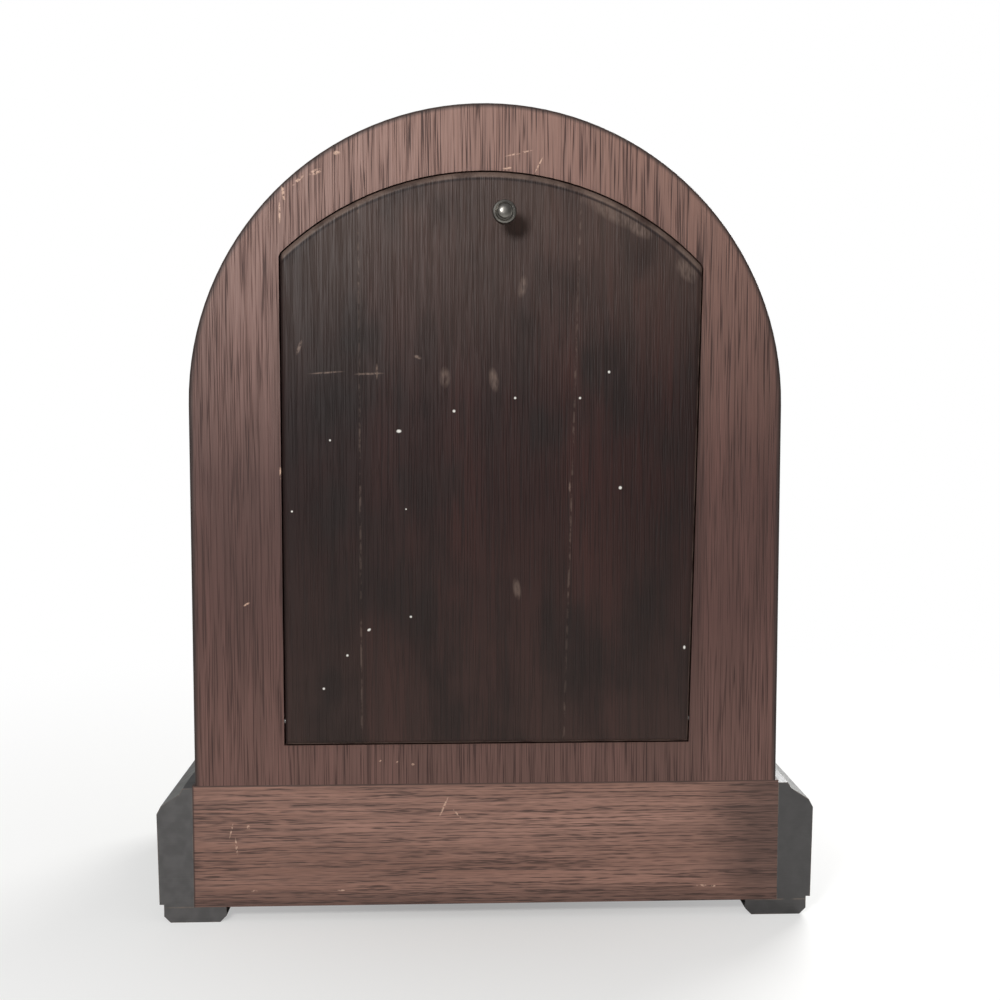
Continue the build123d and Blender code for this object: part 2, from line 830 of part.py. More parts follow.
def make_bezel_ring():
    """A turned ring with two hinge knuckles on its right side and a pull on its left."""
    recess_radius = dial_radius + free_gap
    recess_depth = dial_thickness + dial_pin_head + free_gap
    ring = turned([(recess_radius, 0), (bezel_outer_radius, 0), (bezel_outer_radius, bezel_edge_depth),
                   (bezel_crown_radius, bezel_depth), (bezel_crown_radius - bezel_lip, bezel_depth),
                   (bezel_inner_radius, lip_depth + bezel_lip_depth / 2), (bezel_inner_radius, lip_depth),
                   (rebate_radius, lip_depth), (rebate_radius, recess_depth), (recess_radius, recess_depth)])
    crown = ring.edges().filter_by(GeomType.CIRCLE).group_by(Axis.Y)[0]
    ring = fillet(crown, bezel_crown_round)
    for way in (-1, 1):
        z0 = spring_z + way * (knuckle_length / 2 + knuckle_gap)
        z1 = z0 + way * knuckle_length
        low, high = min(z0, z1), max(z0, z1)
        arm = slab(bezel_crown_radius, hinge_x, hinge_y - hinge_leaf_thickness,
                   hinge_y + hinge_leaf_thickness, low, high)
        arm -= pin_z(hinge_x, hinge_y, low, high, hinge_pin_radius + running_gap)
        ring += arm + knuckle(low, high)
    return ring + bezel_tab()


def make_bezel_glass():
    """A domed glass with a flat edge behind the bezel's lip."""
    dome_radius = bezel_inner_radius - seat_gap
    half = dome_radius / 2
    half_rise = rise_at_half(dome_radius, glass_rise)
    front, back = lip_depth, lip_depth - glass_thickness
    edge = rebate_radius - seat_gap
    rim = Polyline((dome_radius, -front), (edge, -front), (edge, -back), (dome_radius, -back))
    inner = ThreePointArc((dome_radius, -back), (half, -back - half_rise), (0, -back - glass_rise))
    axis_line = Line((0, -back - glass_rise), (0, -front - glass_rise))
    outer = ThreePointArc((0, -front - glass_rise), (half, -front - half_rise), (dome_radius, -front))
    plane = Plane(origin=(center[0], front_y, center[1]), x_dir=(1, 0, 0), z_dir=(0, 0, 1))
    section = plane * make_face([*rim.edges(), inner, axis_line, outer])
    return revolve(section, axis=Axis((center[0], front_y, center[1]), (0, 1, 0)))


def make_glass_retainer():
    front = lip_depth - glass_thickness
    outer = rebate_radius - seat_gap
    inner = outer - retainer_width
    back = front - retainer_depth
    return turned([(inner, front), (outer, front), (outer, back), (inner, back)])


def make_bezel_hinge():
    """The fixed leaf on the panel, with the middle knuckle."""
    half = knuckle_length / 2
    reach = half + knuckle_gap + knuckle_length
    leaf_x = hinge_x + knuckle_radius + free_gap
    leaf = slab(leaf_x, leaf_x + hinge_leaf_width, front_y - hinge_leaf_thickness, front_y,
                spring_z - reach, spring_z + reach)
    web = slab(hinge_x, leaf_x + hinge_leaf_thickness, hinge_y - hinge_leaf_thickness / 2, front_y,
               spring_z - half, spring_z + half)
    web -= pin_z(hinge_x, hinge_y, spring_z - half, spring_z + half, hinge_pin_radius + running_gap)
    return leaf + web + knuckle(spring_z - half, spring_z + half)


def make_bezel_hinge_pin():
    reach = knuckle_length / 2 + knuckle_gap + knuckle_length
    return pin_z(hinge_x, hinge_y, spring_z - reach, spring_z + reach, hinge_pin_radius)


# Movement frame

def corner_places():
    """Pillar places in the corners of the plates."""
    x = plate_half_width - pillar_inset
    low = spring_z - plate_below + pillar_inset
    high = spring_z + plate_above - pillar_inset
    return [(side * x, z) for side in (-1, 1) for z in (low, high)]


def post_places():
    """Places of the posts that hold the movement to the front panel."""
    return [(side * post_x, spring_z + up * post_z) for side in (-1, 1) for up in (-1, 1)]


def plate_face():
    height = plate_above + plate_below
    middle_z = spring_z + (plate_above - plate_below) / 2
    face = Pos(0, middle_z) * RectangleRounded(2 * plate_half_width, height, plate_corner)
    for place in corner_places():
        face -= Pos(*place) * Circle(pillar_pivot_radius + seat_gap)
    for place in (third_at, escape_at, fly_at, locking_at):
        face -= Pos(*place) * Circle(pivot_radius + running_gap)
    for place in (second_at, hammer_at):
        face -= Pos(*place) * Circle(stout_pivot_radius + running_gap)
    for place in (time_barrel_at, strike_barrel_at):
        face -= Pos(*place) * Circle(winding_arbor_radius + running_gap)
    return face


def click_pivots():
    barrels = (time_barrel_at, strike_barrel_at)
    return [step_from(at, click_pivot_distance, click_pivot_direction) for at in barrels]


def make_front_plate():
    """The dial-side plate with the minute wheel's stud and the click screws' seats."""
    face = plate_face() - Pos(*center) * Circle(center_arbor_radius + running_gap)
    face -= Pos(*anchor_at) * Circle(pivot_radius + running_gap)
    face -= Pos(*pin_wheel_at) * Circle(stout_pivot_radius + running_gap)
    for place in post_places():
        face -= Pos(*place) * Circle(screw_radius + seat_gap)
    plate = prism(face, plate_front_y, inside_y)
    stud_end_y = hour_wheel_y - free_gap - wheel_thickness
    plate += pin_y(minute_at, stud_end_y, plate_front_y, stud_radius)
    for place in click_pivots():
        click_front_y = plate_front_y - ratchet_standoff - ratchet_thickness
        plate += pin_y(place, click_front_y - free_gap, plate_front_y, click_screw_radius)
        plate += pin_y(place, click_front_y - free_gap - click_screw_head, click_front_y - free_gap,
                       click_screw_head_radius)
    return plate


def make_back_plate():
    """The rear plate with the studs of the count wheel and its lever."""
    face = plate_face() - Pos(*center) * Circle(stout_pivot_radius + running_gap)
    face -= Pos(*anchor_at) * Circle(cock_hole_radius)
    face -= Pos(*pin_wheel_at) * Circle(stout_pivot_radius + running_gap)
    for side in (-1, 1):
        face -= Pos(side * cock_screw_x, cock_screw_z) * Circle(cock_screw_radius + seat_gap)
    plate = prism(face, inside_end_y, plate_back_y)
    for place in (count_at, lever_at):
        plate += pin_y(place, plate_back_y, count_end_y + free_gap, count_stud_radius)
        plate += pin_y(place, count_end_y + free_gap, count_end_y + free_gap + click_screw_head,
                       count_stud_radius + hand_nut_margin)
    return plate


def make_pillars():
    pillars = []
    for place in corner_places():
        pillar = pin_y(place, inside_y, inside_end_y, pillar_radius)
        pillar += pin_y(place, plate_front_y, plate_back_y + pillar_nut_thickness, pillar_pivot_radius)
        pillars.append(pillar)
    return Compound(pillars)


def pillar_nuts():
    face = RegularPolygon(pillar_nut_radius, 6) - Circle(pillar_pivot_radius + seat_gap)
    return [prism(Pos(*place) * face, plate_back_y, plate_back_y + pillar_nut_thickness)
            for place in corner_places()]


def make_fixing_posts():
    posts = []
    for place in post_places():
        face = Pos(*place) * (Circle(post_radius) - Circle(screw_radius + seat_gap))
        posts.append(prism(face, panel_back_y, plate_front_y))
    return Compound(posts)


def fixing_screws():
    screws = []
    for place in post_places():
        screw = pin_y(place, panel_back_y - screw_bite, inside_y, screw_radius)
        screws.append(screw + pin_y(place, inside_y, inside_y + screw_head_thickness, screw_head_radius))
    return screws


def cock_screws():
    screws = []
    for side in (-1, 1):
        place = (side * cock_screw_x, cock_screw_z)
        head_y = plate_back_y + cock_flange_thickness
        screw = pin_y(place, inside_end_y, head_y, cock_screw_radius)
        screws.append(screw + pin_y(place, head_y, head_y + cock_screw_head, cock_screw_head_radius))
    return screws


def make_movement_fasteners():
    return Compound([*pillar_nuts(), *fixing_screws(), *cock_screws()])


# Barrels, mainsprings and winding

def make_barrel(place, toward):
    """A drum with the great wheel's teeth round its front, and the cap that closes its back."""
    turn = heading(place, toward)
    face = wheel_disc(barrel_teeth, barrel_module, turn)
    bore = Circle(winding_arbor_radius + running_gap)
    flange = prism(Pos(*place) * (face - bore), barrel_y, barrel_y + barrel_flange)
    wall = Circle(drum_radius) - Circle(drum_radius - barrel_wall)
    drum = flange + prism(Pos(*place) * wall, barrel_y + barrel_flange, barrel_end_y)
    cap = prism(Pos(*place) * (Circle(drum_radius) - bore), barrel_end_y, barrel_end_y + barrel_cap_thickness)
    return Compound([drum, cap])


def make_mainspring(place):
    """A flat strip wound outwards in half circles, inside the drum."""
    half = spring_strip / 2
    first = winding_hub_radius + free_gap + half
    rows = half_turns(first, spring_pitch / 2, spring_half_turns)
    outer = [half_circle(middle, radius + half, side) for middle, radius, side in rows]
    inner = [half_circle(middle, radius - half, side) for middle, radius, side in rows]
    ends = [Line(outer[0] @ 0, inner[0] @ 0), Line(outer[-1] @ 1, inner[-1] @ 1)]
    strip = make_face([*outer, *inner, *ends])
    return prism(Pos(*place) * strip, barrel_y + barrel_flange + end_shake, barrel_end_y - end_shake)


def make_winding_arbor(place):
    """The arbor with its square through the dial, its hub in the drum and its ratchet before the plate."""
    square_y = dial_front_y - winding_reach
    ratchet_y = plate_front_y - ratchet_standoff - ratchet_thickness
    arbor_body = pin_y(place, ratchet_y, plate_back_y, winding_arbor_radius)
    arbor_body += prism(Pos(*place) * Rectangle(winding_square, winding_square), square_y, ratchet_y)
    hub_y = barrel_y + barrel_flange + end_shake
    arbor_body += pin_y(place, hub_y, barrel_end_y - end_shake, winding_hub_radius)
    step = 2 * pi / ratchet_teeth
    root = ratchet_radius - ratchet_tooth_height
    points = []
    for n in range(ratchet_teeth):
        points.append((ratchet_radius * cos(n * step), ratchet_radius * sin(n * step)))
        points.append((root * cos(n * step), root * sin(n * step)))
    teeth = prism(Pos(*place) * outline(points), ratchet_y, ratchet_y + ratchet_thickness)
    return arbor_body + teeth


def make_click(place):
    """A pawl whose nose stands just clear of the ratchet's teeth."""
    pivot = step_from(place, click_pivot_distance, click_pivot_direction)
    nose = step_from(place, ratchet_radius + free_gap + click_width / 2, click_nose_direction)
    face = bar(pivot, nose, click_width) + Pos(*pivot) * Circle(click_eye_radius)
    face -= Pos(*pivot) * Circle(click_screw_radius + running_gap)
    y0 = plate_front_y - ratchet_standoff - ratchet_thickness
    return prism(face, y0, y0 + ratchet_thickness)


# Time train and motion work

def make_second_wheel():
    piece = arbor(second_at, stout_arbor_radius, stout_pivot_radius)
    piece += pinion(second_at, barrel_y - pinion_margin, barrel_y + barrel_flange + pinion_margin,
                    barrel_pinion_teeth, barrel_module, time_barrel_at)
    return piece + wheel(second_at, second_y, second_teeth, second_module, center)


def make_center_wheel():
    """The centre arbor runs out through the front plate and the dial to the minute hand."""
    piece = pin_y(center, minute_hand_y - hand_nut_length, inside_y + end_shake, center_arbor_radius)
    piece += pin_y(center, inside_y + end_shake, inside_end_y - end_shake, stout_arbor_radius)
    piece += pin_y(center, inside_end_y - end_shake, plate_back_y, stout_pivot_radius)
    piece += pinion(center, second_y - pinion_margin, second_y + wheel_thickness + pinion_margin,
                    center_pinion_teeth, second_module, second_at)
    return piece + wheel(center, center_y, center_teeth, train_module, third_at)


def make_third_wheel():
    piece = arbor(third_at, arbor_radius, pivot_radius)
    piece += pinion(third_at, center_y - pinion_margin, center_y + wheel_thickness + pinion_margin,
                    train_pinion_teeth, train_module, center)
    return piece + wheel(third_at, third_y, third_teeth, train_module, escape_at)


def make_escape_wheel():
    piece = arbor(escape_at, arbor_radius, pivot_radius)
    piece += pinion(escape_at, third_y - pinion_margin, third_y + wheel_thickness + pinion_margin,
                    train_pinion_teeth, train_module, third_at)
    step = 2 * pi / escape_teeth
    root = escape_radius - escape_tooth_height
    points = []
    for n in range(escape_teeth):
        lean = (n + escape_tooth_lean_share) * step
        points.append((root * cos(n * step), root * sin(n * step)))
        points.append((escape_radius * cos(lean), escape_radius * sin(lean)))
    face = outline(points)
    inner = root - rim_width
    windows = Circle(inner) - Circle(hub_radius)
    for n in range(spoke_count):
        spoke = Pos((inner + overrun) / 2, 0) * Rectangle(inner + overrun, spoke_width)
        windows -= Rot(0, 0, 360 * n / spoke_count) * spoke
    return piece + prism(Pos(*escape_at) * (face - windows), escape_y, escape_y + wheel_thickness)


def make_cannon_pinion():
    """The pinion on the centre arbor whose pipe carries the minute hand."""
    body = pinion(center, cannon_y, cannon_y + cannon_length, cannon_teeth, motion_module, minute_at, True)
    pipe_front_y = minute_hand_y + hand_thickness
    body += pin_y(center, pipe_front_y, cannon_y, cannon_pipe_radius)
    return body - pin_y(center, pipe_front_y, cannon_y + cannon_length, center_arbor_radius + seat_gap)


def make_minute_wheel():
    turn = heading(minute_at, center) + 180 / minute_wheel_teeth
    face = wheel_face(minute_wheel_teeth, motion_module, turn)
    piece = prism(Pos(*minute_at) * face, minute_wheel_y, minute_wheel_y + wheel_thickness)
    piece += pinion(minute_at, minute_pinion_y, minute_wheel_y, minute_pinion_teeth, hour_module,
                    center, True)
    return piece - pin_y(minute_at, minute_pinion_y, plate_front_y, stud_radius + running_gap)


def make_hour_wheel():
    turn = heading(center, minute_at) + 180 / hour_wheel_teeth
    face = Pos(*center) * (wheel_disc(hour_wheel_teeth, hour_module, turn) - Circle(hour_pipe_bore))
    pipe = Pos(*center) * (Circle(hour_pipe_radius) - Circle(hour_pipe_bore))
    piece = prism(face, hour_wheel_y, hour_wheel_y + wheel_thickness)
    return piece + prism(pipe, hour_hand_y, hour_wheel_y)


# Escapement and pendulum

def make_pallet_anchor():
    """Two pallet arms over the escape wheel, on an arbor that also carries the crutch."""
    cock_y = plate_back_y + cock_tab_offset
    piece = pin_y(anchor_at, inside_y + end_shake, cock_y - end_shake, arbor_radius)
    piece += pin_y(anchor_at, plate_front_y, cock_y + cock_tab_thickness, pivot_radius)
    pallet_radius = escape_radius + anchor_lift_clearance
    face = Pos(*anchor_at) * Circle(anchor_arm_width)
    for side in (-1, 1):
        tip = step_from(escape_at, pallet_radius, 90 - side * anchor_reach_deg)
        heel = step_from(escape_at, pallet_radius + pallet_length, 90 - side * anchor_reach_deg)
        face += bar(anchor_at, heel, anchor_arm_width)
        face += Pos((tip[0] + heel[0]) / 2, (tip[1] + heel[1]) / 2) * (
            Rot(0, 0, heading(tip, heel)) * Rectangle(pallet_length, anchor_arm_width))
    middle = escape_y + wheel_thickness / 2
    piece += prism(face, middle - anchor_thickness / 2, middle + anchor_thickness / 2)
    foot = (anchor_at[0], anchor_at[1] - crutch_length)
    piece += prism(bar(anchor_at, foot, crutch_width), crutch_y, crutch_y + crutch_thickness)
    fork_x = rod_radius + free_gap
    fork_end_y = pendulum_y + rod_radius + crutch_width
    fork = slab(-fork_x - crutch_width, fork_x + crutch_width, crutch_y, fork_end_y,
                foot[1] - crutch_width / 2, foot[1] + crutch_width / 2)
    fork -= slab(-fork_x, fork_x, crutch_y + crutch_thickness, fork_end_y + overrun,
                 foot[1] - crutch_width, foot[1] + crutch_width)
    return piece + fork


def make_suspension_cock():
    """A bracket on the back plate: it holds the anchor's rear pivot and the suspension spring."""
    base_z = anchor_at[1] + cock_drop
    arm_end_y = pendulum_y + strip_width
    cock = slab(-cock_half_width, cock_half_width, plate_back_y, plate_back_y + cock_flange_thickness,
                base_z, base_z + cock_flange_height)
    for side in (-1, 1):
        cock -= pin_y((side * cock_screw_x, cock_screw_z), plate_back_y,
                      plate_back_y + cock_flange_thickness, cock_screw_radius + seat_gap)
    cock += slab(-cock_arm_half_width, cock_arm_half_width, plate_back_y, arm_end_y, base_z,
                 base_z + cock_arm_height)
    tab_y = plate_back_y + cock_tab_offset
    tab = slab(-cock_tab_half_width, cock_tab_half_width, tab_y, tab_y + cock_tab_thickness,
               anchor_at[1] - cock_tab_half_width, base_z)
    cock += tab - pin_y(anchor_at, tab_y, tab_y + cock_tab_thickness, pivot_radius + running_gap)
    strip_sway = (cock_drop + cock_arm_height + free_gap) * sin(radians(swing_degrees))
    slot_half = strip_sway + strip_thickness + free_gap
    slot = slab(-slot_half, slot_half, pendulum_y - strip_width / 2 - free_gap, arm_end_y + overrun,
                base_z - overrun, base_z + cock_arm_height + overrun)
    return cock - slot


def make_suspension_spring():
    """A thin strip with a cross pin at its head and a brass chop at its foot."""
    half = strip_width / 2
    strip = slab(-strip_thickness / 2, strip_thickness / 2, pendulum_y - half, pendulum_y + half,
                 anchor_at[1] - strip_below, anchor_at[1] + strip_above)
    strip += pin_x(-strip_pin_length / 2, strip_pin_length / 2, pendulum_y, strip_pin_z, strip_pin_radius)
    chop_top = anchor_at[1] - strip_below
    return strip + slab(-chop_half_width, chop_half_width, pendulum_y - chop_depth / 2,
                        pendulum_y + chop_depth / 2, chop_top - chop_length, chop_top)


def make_pendulum_rod():
    return pin_z(0, pendulum_y, rod_foot_z, anchor_at[1] - strip_below - chop_length, rod_radius)


def make_pendulum_bob():
    """A lens-shaped bob with a hole for the rod."""
    half, edge = bob_thickness / 2, bob_edge / 2
    shoulder = edge + rise_at_half(bob_radius, half - edge)
    plane = Plane(origin=(0, pendulum_y, bob_z), x_dir=(1, 0, 0), z_dir=(0, 0, 1))
    front = ThreePointArc((0, -half), (bob_radius / 2, -shoulder), (bob_radius, -edge))
    back = ThreePointArc((bob_radius, edge), (bob_radius / 2, shoulder), (0, half))
    rim, axis_line = Line((bob_radius, -edge), (bob_radius, edge)), Line((0, half), (0, -half))
    section = plane * make_face([front, rim, back, axis_line])
    lens = revolve(section, axis=Axis((0, pendulum_y, bob_z), (0, 1, 0)))
    return lens - pin_z(0, pendulum_y, bob_z - bob_radius - overrun, bob_z + bob_radius + overrun,
                        rod_radius + seat_gap)


def make_rating_nut():
    z1 = bob_z - bob_radius
    nut = pin_z(0, pendulum_y, z1 - rating_nut_length, z1, rating_nut_radius)
    return nut - pin_z(0, pendulum_y, z1 - rating_nut_length, z1, rod_radius + seat_gap)


# Strike train

def make_pin_wheel():
    """The wheel whose pins lift the hammer; its arbor also carries the count wheel's pinion."""
    piece = arbor(pin_wheel_at, stout_arbor_radius, stout_pivot_radius)
    piece += pinion(pin_wheel_at, barrel_y - pinion_margin, barrel_y + barrel_flange + pinion_margin,
                    strike_pinion_teeth, barrel_module, strike_barrel_at)
    piece += wheel(pin_wheel_at, second_y, pin_wheel_teeth, second_module, locking_at)
    for n in range(pin_count):
        place = step_from(pin_wheel_at, pin_circle_radius, 360 * n / pin_count)
        piece += pin_y(place, second_y, second_y + wheel_thickness + pin_length, pin_radius)
    web = Circle(pin_circle_radius + spoke_width) - Circle(pin_circle_radius - spoke_width)
    piece += prism(Pos(*pin_wheel_at) * web, second_y, second_y + wheel_thickness)
    piece += pin_y(pin_wheel_at, plate_back_y, count_y + count_wheel_thickness, stout_pivot_radius)
    return piece + pinion(pin_wheel_at, count_y - end_shake, count_y + count_wheel_thickness + end_shake,
                          count_pinion_teeth, count_module, count_at, True)


def make_locking_wheel():
    piece = arbor(locking_at, arbor_radius, pivot_radius)
    piece += pinion(locking_at, second_y - pinion_margin, second_y + wheel_thickness + pinion_margin,
                    locking_pinion_teeth, second_module, pin_wheel_at)
    return piece + wheel(locking_at, locking_y, locking_teeth, train_module, fly_at)


def make_fly():
    """The air brake: two blades on the last arbor of the strike train."""
    piece = arbor(fly_at, arbor_radius, pivot_radius)
    piece += pinion(fly_at, locking_y - pinion_margin, locking_y + wheel_thickness + pinion_margin,
                    fly_pinion_teeth, train_module, locking_at)
    blade = Circle(fly_sleeve_radius) + Rectangle(2 * fly_radius, fly_thickness)
    return piece + prism(Pos(*fly_at) * blade, fly_y, fly_y + fly_length)


def make_count_wheel():
    """A toothed wheel with a notched disc that counts the blows from one to twelve."""
    turn = heading(count_at, pin_wheel_at) + 180 / count_teeth
    face = wheel_face(count_teeth, count_module, turn)
    disc = Circle(count_disc_radius)
    blows = 0
    for hour in range(count_hours):
        blows += hour + 1
        notch = Pos(count_disc_radius, 0) * Rectangle(2 * count_notch_depth, count_notch_width)
        disc -= Rot(0, 0, 360 * blows / count_teeth) * notch
    bore = Circle(count_stud_radius + running_gap)
    piece = prism(Pos(*count_at) * (face - bore), count_y, count_y + count_wheel_thickness)
    return piece + prism(Pos(*count_at) * (disc - bore), count_y + count_wheel_thickness, count_end_y)


def make_count_lever():
    """A lever whose nose rides just above the notched disc."""
    nose = step_from(count_at, count_disc_radius + free_gap, lever_nose_direction)
    heel = step_from(count_at, count_disc_radius + free_gap + lever_width, lever_nose_direction)
    face = bar(lever_at, heel, lever_width) + Pos(*lever_at) * Circle(count_stud_radius + hand_nut_margin)
    middle = ((nose[0] + heel[0]) / 2, (nose[1] + heel[1]) / 2)
    face += Pos(*middle) * Rot(0, 0, lever_nose_direction) * Rectangle(lever_width, lever_nose_width)
    face -= Pos(*lever_at) * Circle(count_stud_radius + running_gap)
    return prism(face, count_y + count_wheel_thickness + free_gap, count_end_y)


# Hammer and gong

def make_hammer():
    """The hammer on its arbor, with a tail that the pin wheel's pins lift."""
    piece = arbor(hammer_at, stout_arbor_radius, stout_pivot_radius)
    tail_reach = pin_circle_radius + pin_radius + free_gap + tail_width / 2
    tail_tip = step_from(pin_wheel_at, tail_reach, pin_wheel_tail_direction)
    tail_y = inside_y + tail_plane
    tail = bar(hammer_at, tail_tip, tail_width) + Pos(*hammer_at) * Circle(hammer_hub_radius)
    piece += prism(tail, tail_y, tail_y + tail_thickness)
    half = hammer_shank_width / 2
    foot = (hammer_at[0], hammer_head_z)
    shank = bar(hammer_at, foot, hammer_shank_width) + Pos(*hammer_at) * Circle(hammer_hub_radius)
    piece += prism(shank, gong_y - half, gong_y + half)
    head_half = hammer_head_length / 2
    return piece + pin_x(hammer_at[0] - head_half, hammer_at[0] + head_half, gong_y, hammer_head_z,
                         hammer_head_radius)


def gong_runs():
    """The gong wire's centre line, across X and Z from the coil's centre."""
    rows = half_turns(gong_inner_radius, gong_half_pitch, gong_half_turns)
    turns = [half_circle(middle, radius, side) for middle, radius, side in rows]
    start, end = turns[0] @ 0, turns[-1] @ 1
    lead = Line((start.X, start.Y - gong_end_length), (start.X, start.Y))
    tail = Line((end.X, end.Y), (end.X, end.Y + gong_tail))
    return [lead, *turns, tail]


def make_gong_coil():
    """A round wire wound as a flat spiral, swept in one piece."""
    plane = Plane(origin=(gong_at[0], gong_y, gong_at[1]), x_dir=(1, 0, 0), z_dir=(0, -1, 0))
    runs = gong_runs()
    path = plane * Wire(runs)
    section = Plane(origin=path @ 0, z_dir=path % 0) * Circle(gong_wire_radius)
    return sweep(section, path=path)


def print_gong_gap():
    """Least gap between one turn of the gong and the next, measured on points."""
    rows = half_turns(gong_inner_radius, gong_half_pitch, gong_half_turns)
    samples = 24
    points = []
    for middle, radius, side in rows:
        for n in range(samples):
            turn = pi * n / samples
            points.append((middle + side * radius * cos(turn), side * radius * sin(turn)))
    least = min(hypot(a[0] - b[0], a[1] - b[1])
                for i, a in enumerate(points) for b in points[i + samples:])
    print("gong coil: least gap between turns", round(least - 2 * gong_wire_radius, 2), "mm")


def make_gong_stand():
    """A cast stand on the base board; its head holds the inner end of the coil."""
    x = gong_at[0] + gong_inner_radius
    y = gong_y + gong_post_offset
    head_top = gong_at[1] - gong_end_length
    stand = pin_z(x, y, base_top_z, base_top_z + gong_flange_thickness, gong_flange_radius)
    stand += pin_z(x, y, base_top_z, head_top, gong_post_radius)
    return stand + slab(x - gong_head_inner, x + gong_head_outer,
                        gong_y - gong_wire_radius - gong_head_outer, y, head_top - gong_head_height, head_top)


nodes = {
    "front_panel": make_front_panel(),
    "case_shell": make_case_shell(),
    "back_panel": make_back_panel(),
    "base_board": make_base_board(),
    "back_rail": make_back_rail(),
    "front_plinth": make_front_plinth(),
    "left_plinth": make_side_plinth(-1),
    "right_plinth": make_side_plinth(1),
    "feet": make_feet(),
    "glue_blocks": make_glue_blocks(),
    "door_stop": make_door_stop(),
    "back_door": make_back_door(),
    "door_pivot_pins": make_pivot_pins(),
    "door_knob": make_door_knob(),
    "door_latch": make_door_latch(),
    "latch_nut": make_latch_nut(),
    "dial": make_dial(),
    "dial_pins": make_dial_pins(),
    "hour_hand": make_hour_hand(),
    "minute_hand": make_minute_hand(),
    "hand_nut": make_hand_nut(),
    "bezel_ring": make_bezel_ring(),
    "bezel_glass": make_bezel_glass(),
    "glass_retainer": make_glass_retainer(),
    "bezel_hinge": make_bezel_hinge(),
    "bezel_hinge_pin": make_bezel_hinge_pin(),
    "front_plate": make_front_plate(),
    "back_plate": make_back_plate(),
    "plate_pillars": make_pillars(),
    "fixing_posts": make_fixing_posts(),
    "movement_fasteners": make_movement_fasteners(),
    "time_barrel": make_barrel(time_barrel_at, second_at),
    "time_mainspring": make_mainspring(time_barrel_at),
    "time_winding_arbor": make_winding_arbor(time_barrel_at),
    "time_click": make_click(time_barrel_at),
    "second_wheel": make_second_wheel(),
    "center_wheel": make_center_wheel(),
    "third_wheel": make_third_wheel(),
    "escape_wheel": make_escape_wheel(),
    "cannon_pinion": make_cannon_pinion(),
    "minute_wheel": make_minute_wheel(),
    "hour_wheel": make_hour_wheel(),
    "pallet_anchor": make_pallet_anchor(),
    "suspension_cock": make_suspension_cock(),
    "suspension_spring": make_suspension_spring(),
    "pendulum_rod": make_pendulum_rod(),
    "pendulum_bob": make_pendulum_bob(),
    "rating_nut": make_rating_nut(),
    "strike_barrel": make_barrel(strike_barrel_at, pin_wheel_at),
    "strike_mainspring": make_mainspring(strike_barrel_at),
    "strike_winding_arbor": make_winding_arbor(strike_barrel_at),
    "strike_click": make_click(strike_barrel_at),
    "pin_wheel": make_pin_wheel(),
    "locking_wheel": make_locking_wheel(),
    "strike_fly": make_fly(),
    "count_wheel": make_count_wheel(),
    "count_lever": make_count_lever(),
    "hammer": make_hammer(),
    "gong_coil": make_gong_coil(),
    "gong_stand": make_gong_stand(),
}

os.makedirs("parts", exist_ok=True)
for name, shape in nodes.items():
    export_step(shape, f"parts/{name}.step")
print_gong_gap()
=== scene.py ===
from math import cos, pi, radians, sin

import bmesh
import bpy
from bpy.props import FloatProperty, FloatVectorProperty, PointerProperty
from mathutils import Matrix, Vector


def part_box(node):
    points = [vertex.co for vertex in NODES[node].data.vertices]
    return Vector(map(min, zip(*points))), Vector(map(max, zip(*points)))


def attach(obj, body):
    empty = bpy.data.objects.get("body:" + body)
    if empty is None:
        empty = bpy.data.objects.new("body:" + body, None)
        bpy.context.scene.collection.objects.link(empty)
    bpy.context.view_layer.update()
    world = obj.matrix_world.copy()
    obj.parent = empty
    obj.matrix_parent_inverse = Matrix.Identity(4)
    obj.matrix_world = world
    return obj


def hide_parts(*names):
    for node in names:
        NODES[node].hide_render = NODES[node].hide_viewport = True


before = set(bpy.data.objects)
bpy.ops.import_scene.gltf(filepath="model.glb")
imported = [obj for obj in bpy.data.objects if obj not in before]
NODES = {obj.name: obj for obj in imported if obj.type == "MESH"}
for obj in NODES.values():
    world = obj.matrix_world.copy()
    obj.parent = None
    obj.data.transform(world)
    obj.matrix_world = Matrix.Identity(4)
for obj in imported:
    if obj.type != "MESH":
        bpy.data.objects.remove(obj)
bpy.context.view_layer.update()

bl_info = {
    "name": "Round-top Shelf Clock",
    "version": (1, 0, 0),
    "blender": (4, 5, 0),
    "location": "View3D > Sidebar > Clock",
    "description": "Finishes a round-top shelf clock: woods, metals, dial, hands and studio",
    "category": "Object",
}

MM = 0.001

# Places that the finishes line up with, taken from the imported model
PANEL_LOW, PANEL_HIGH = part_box("back_panel")
DOOR_LOW, DOOR_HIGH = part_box("back_door")
RAIL_LOW, RAIL_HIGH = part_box("back_rail")
FRONT_LOW, FRONT_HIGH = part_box("front_panel")
DIAL_LOW, DIAL_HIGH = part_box("dial")
KNOB_LOW, KNOB_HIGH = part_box("door_knob")
ARCH_RADIUS = PANEL_HIGH.x
SPRING_Z = PANEL_HIGH.z - ARCH_RADIUS
DIAL_Z = (DIAL_LOW.z + DIAL_HIGH.z) / 2

# How near a face a point counts as on it, how near points are merged, and which edges stay sharp
SKIN = 0.2 * MM
MERGE_REACH = 0.001 * MM
SHARP_ANGLE = radians(32)

# Heights between which painted light lightens the veneer towards the top and just above the rail
LIT_TOP_LOW, LIT_TOP_HIGH = SPRING_Z - 30 * MM, PANEL_HIGH.z - 15 * MM
LIT_FOOT_LOW, LIT_FOOT_HIGH = RAIL_HIGH.z + 10 * MM, RAIL_HIGH.z + 70 * MM

# Where painted shade darkens the rail: from the middle of its pale, lit part, towards its ends and up from its
# foot
RAIL_MIDDLE = 12 * MM
RAIL_END_LOW, RAIL_END_HIGH = RAIL_HIGH.x - 16 * MM, RAIL_HIGH.x + 14 * MM
RAIL_FOOT_SHADE = RAIL_LOW.z + 9 * MM
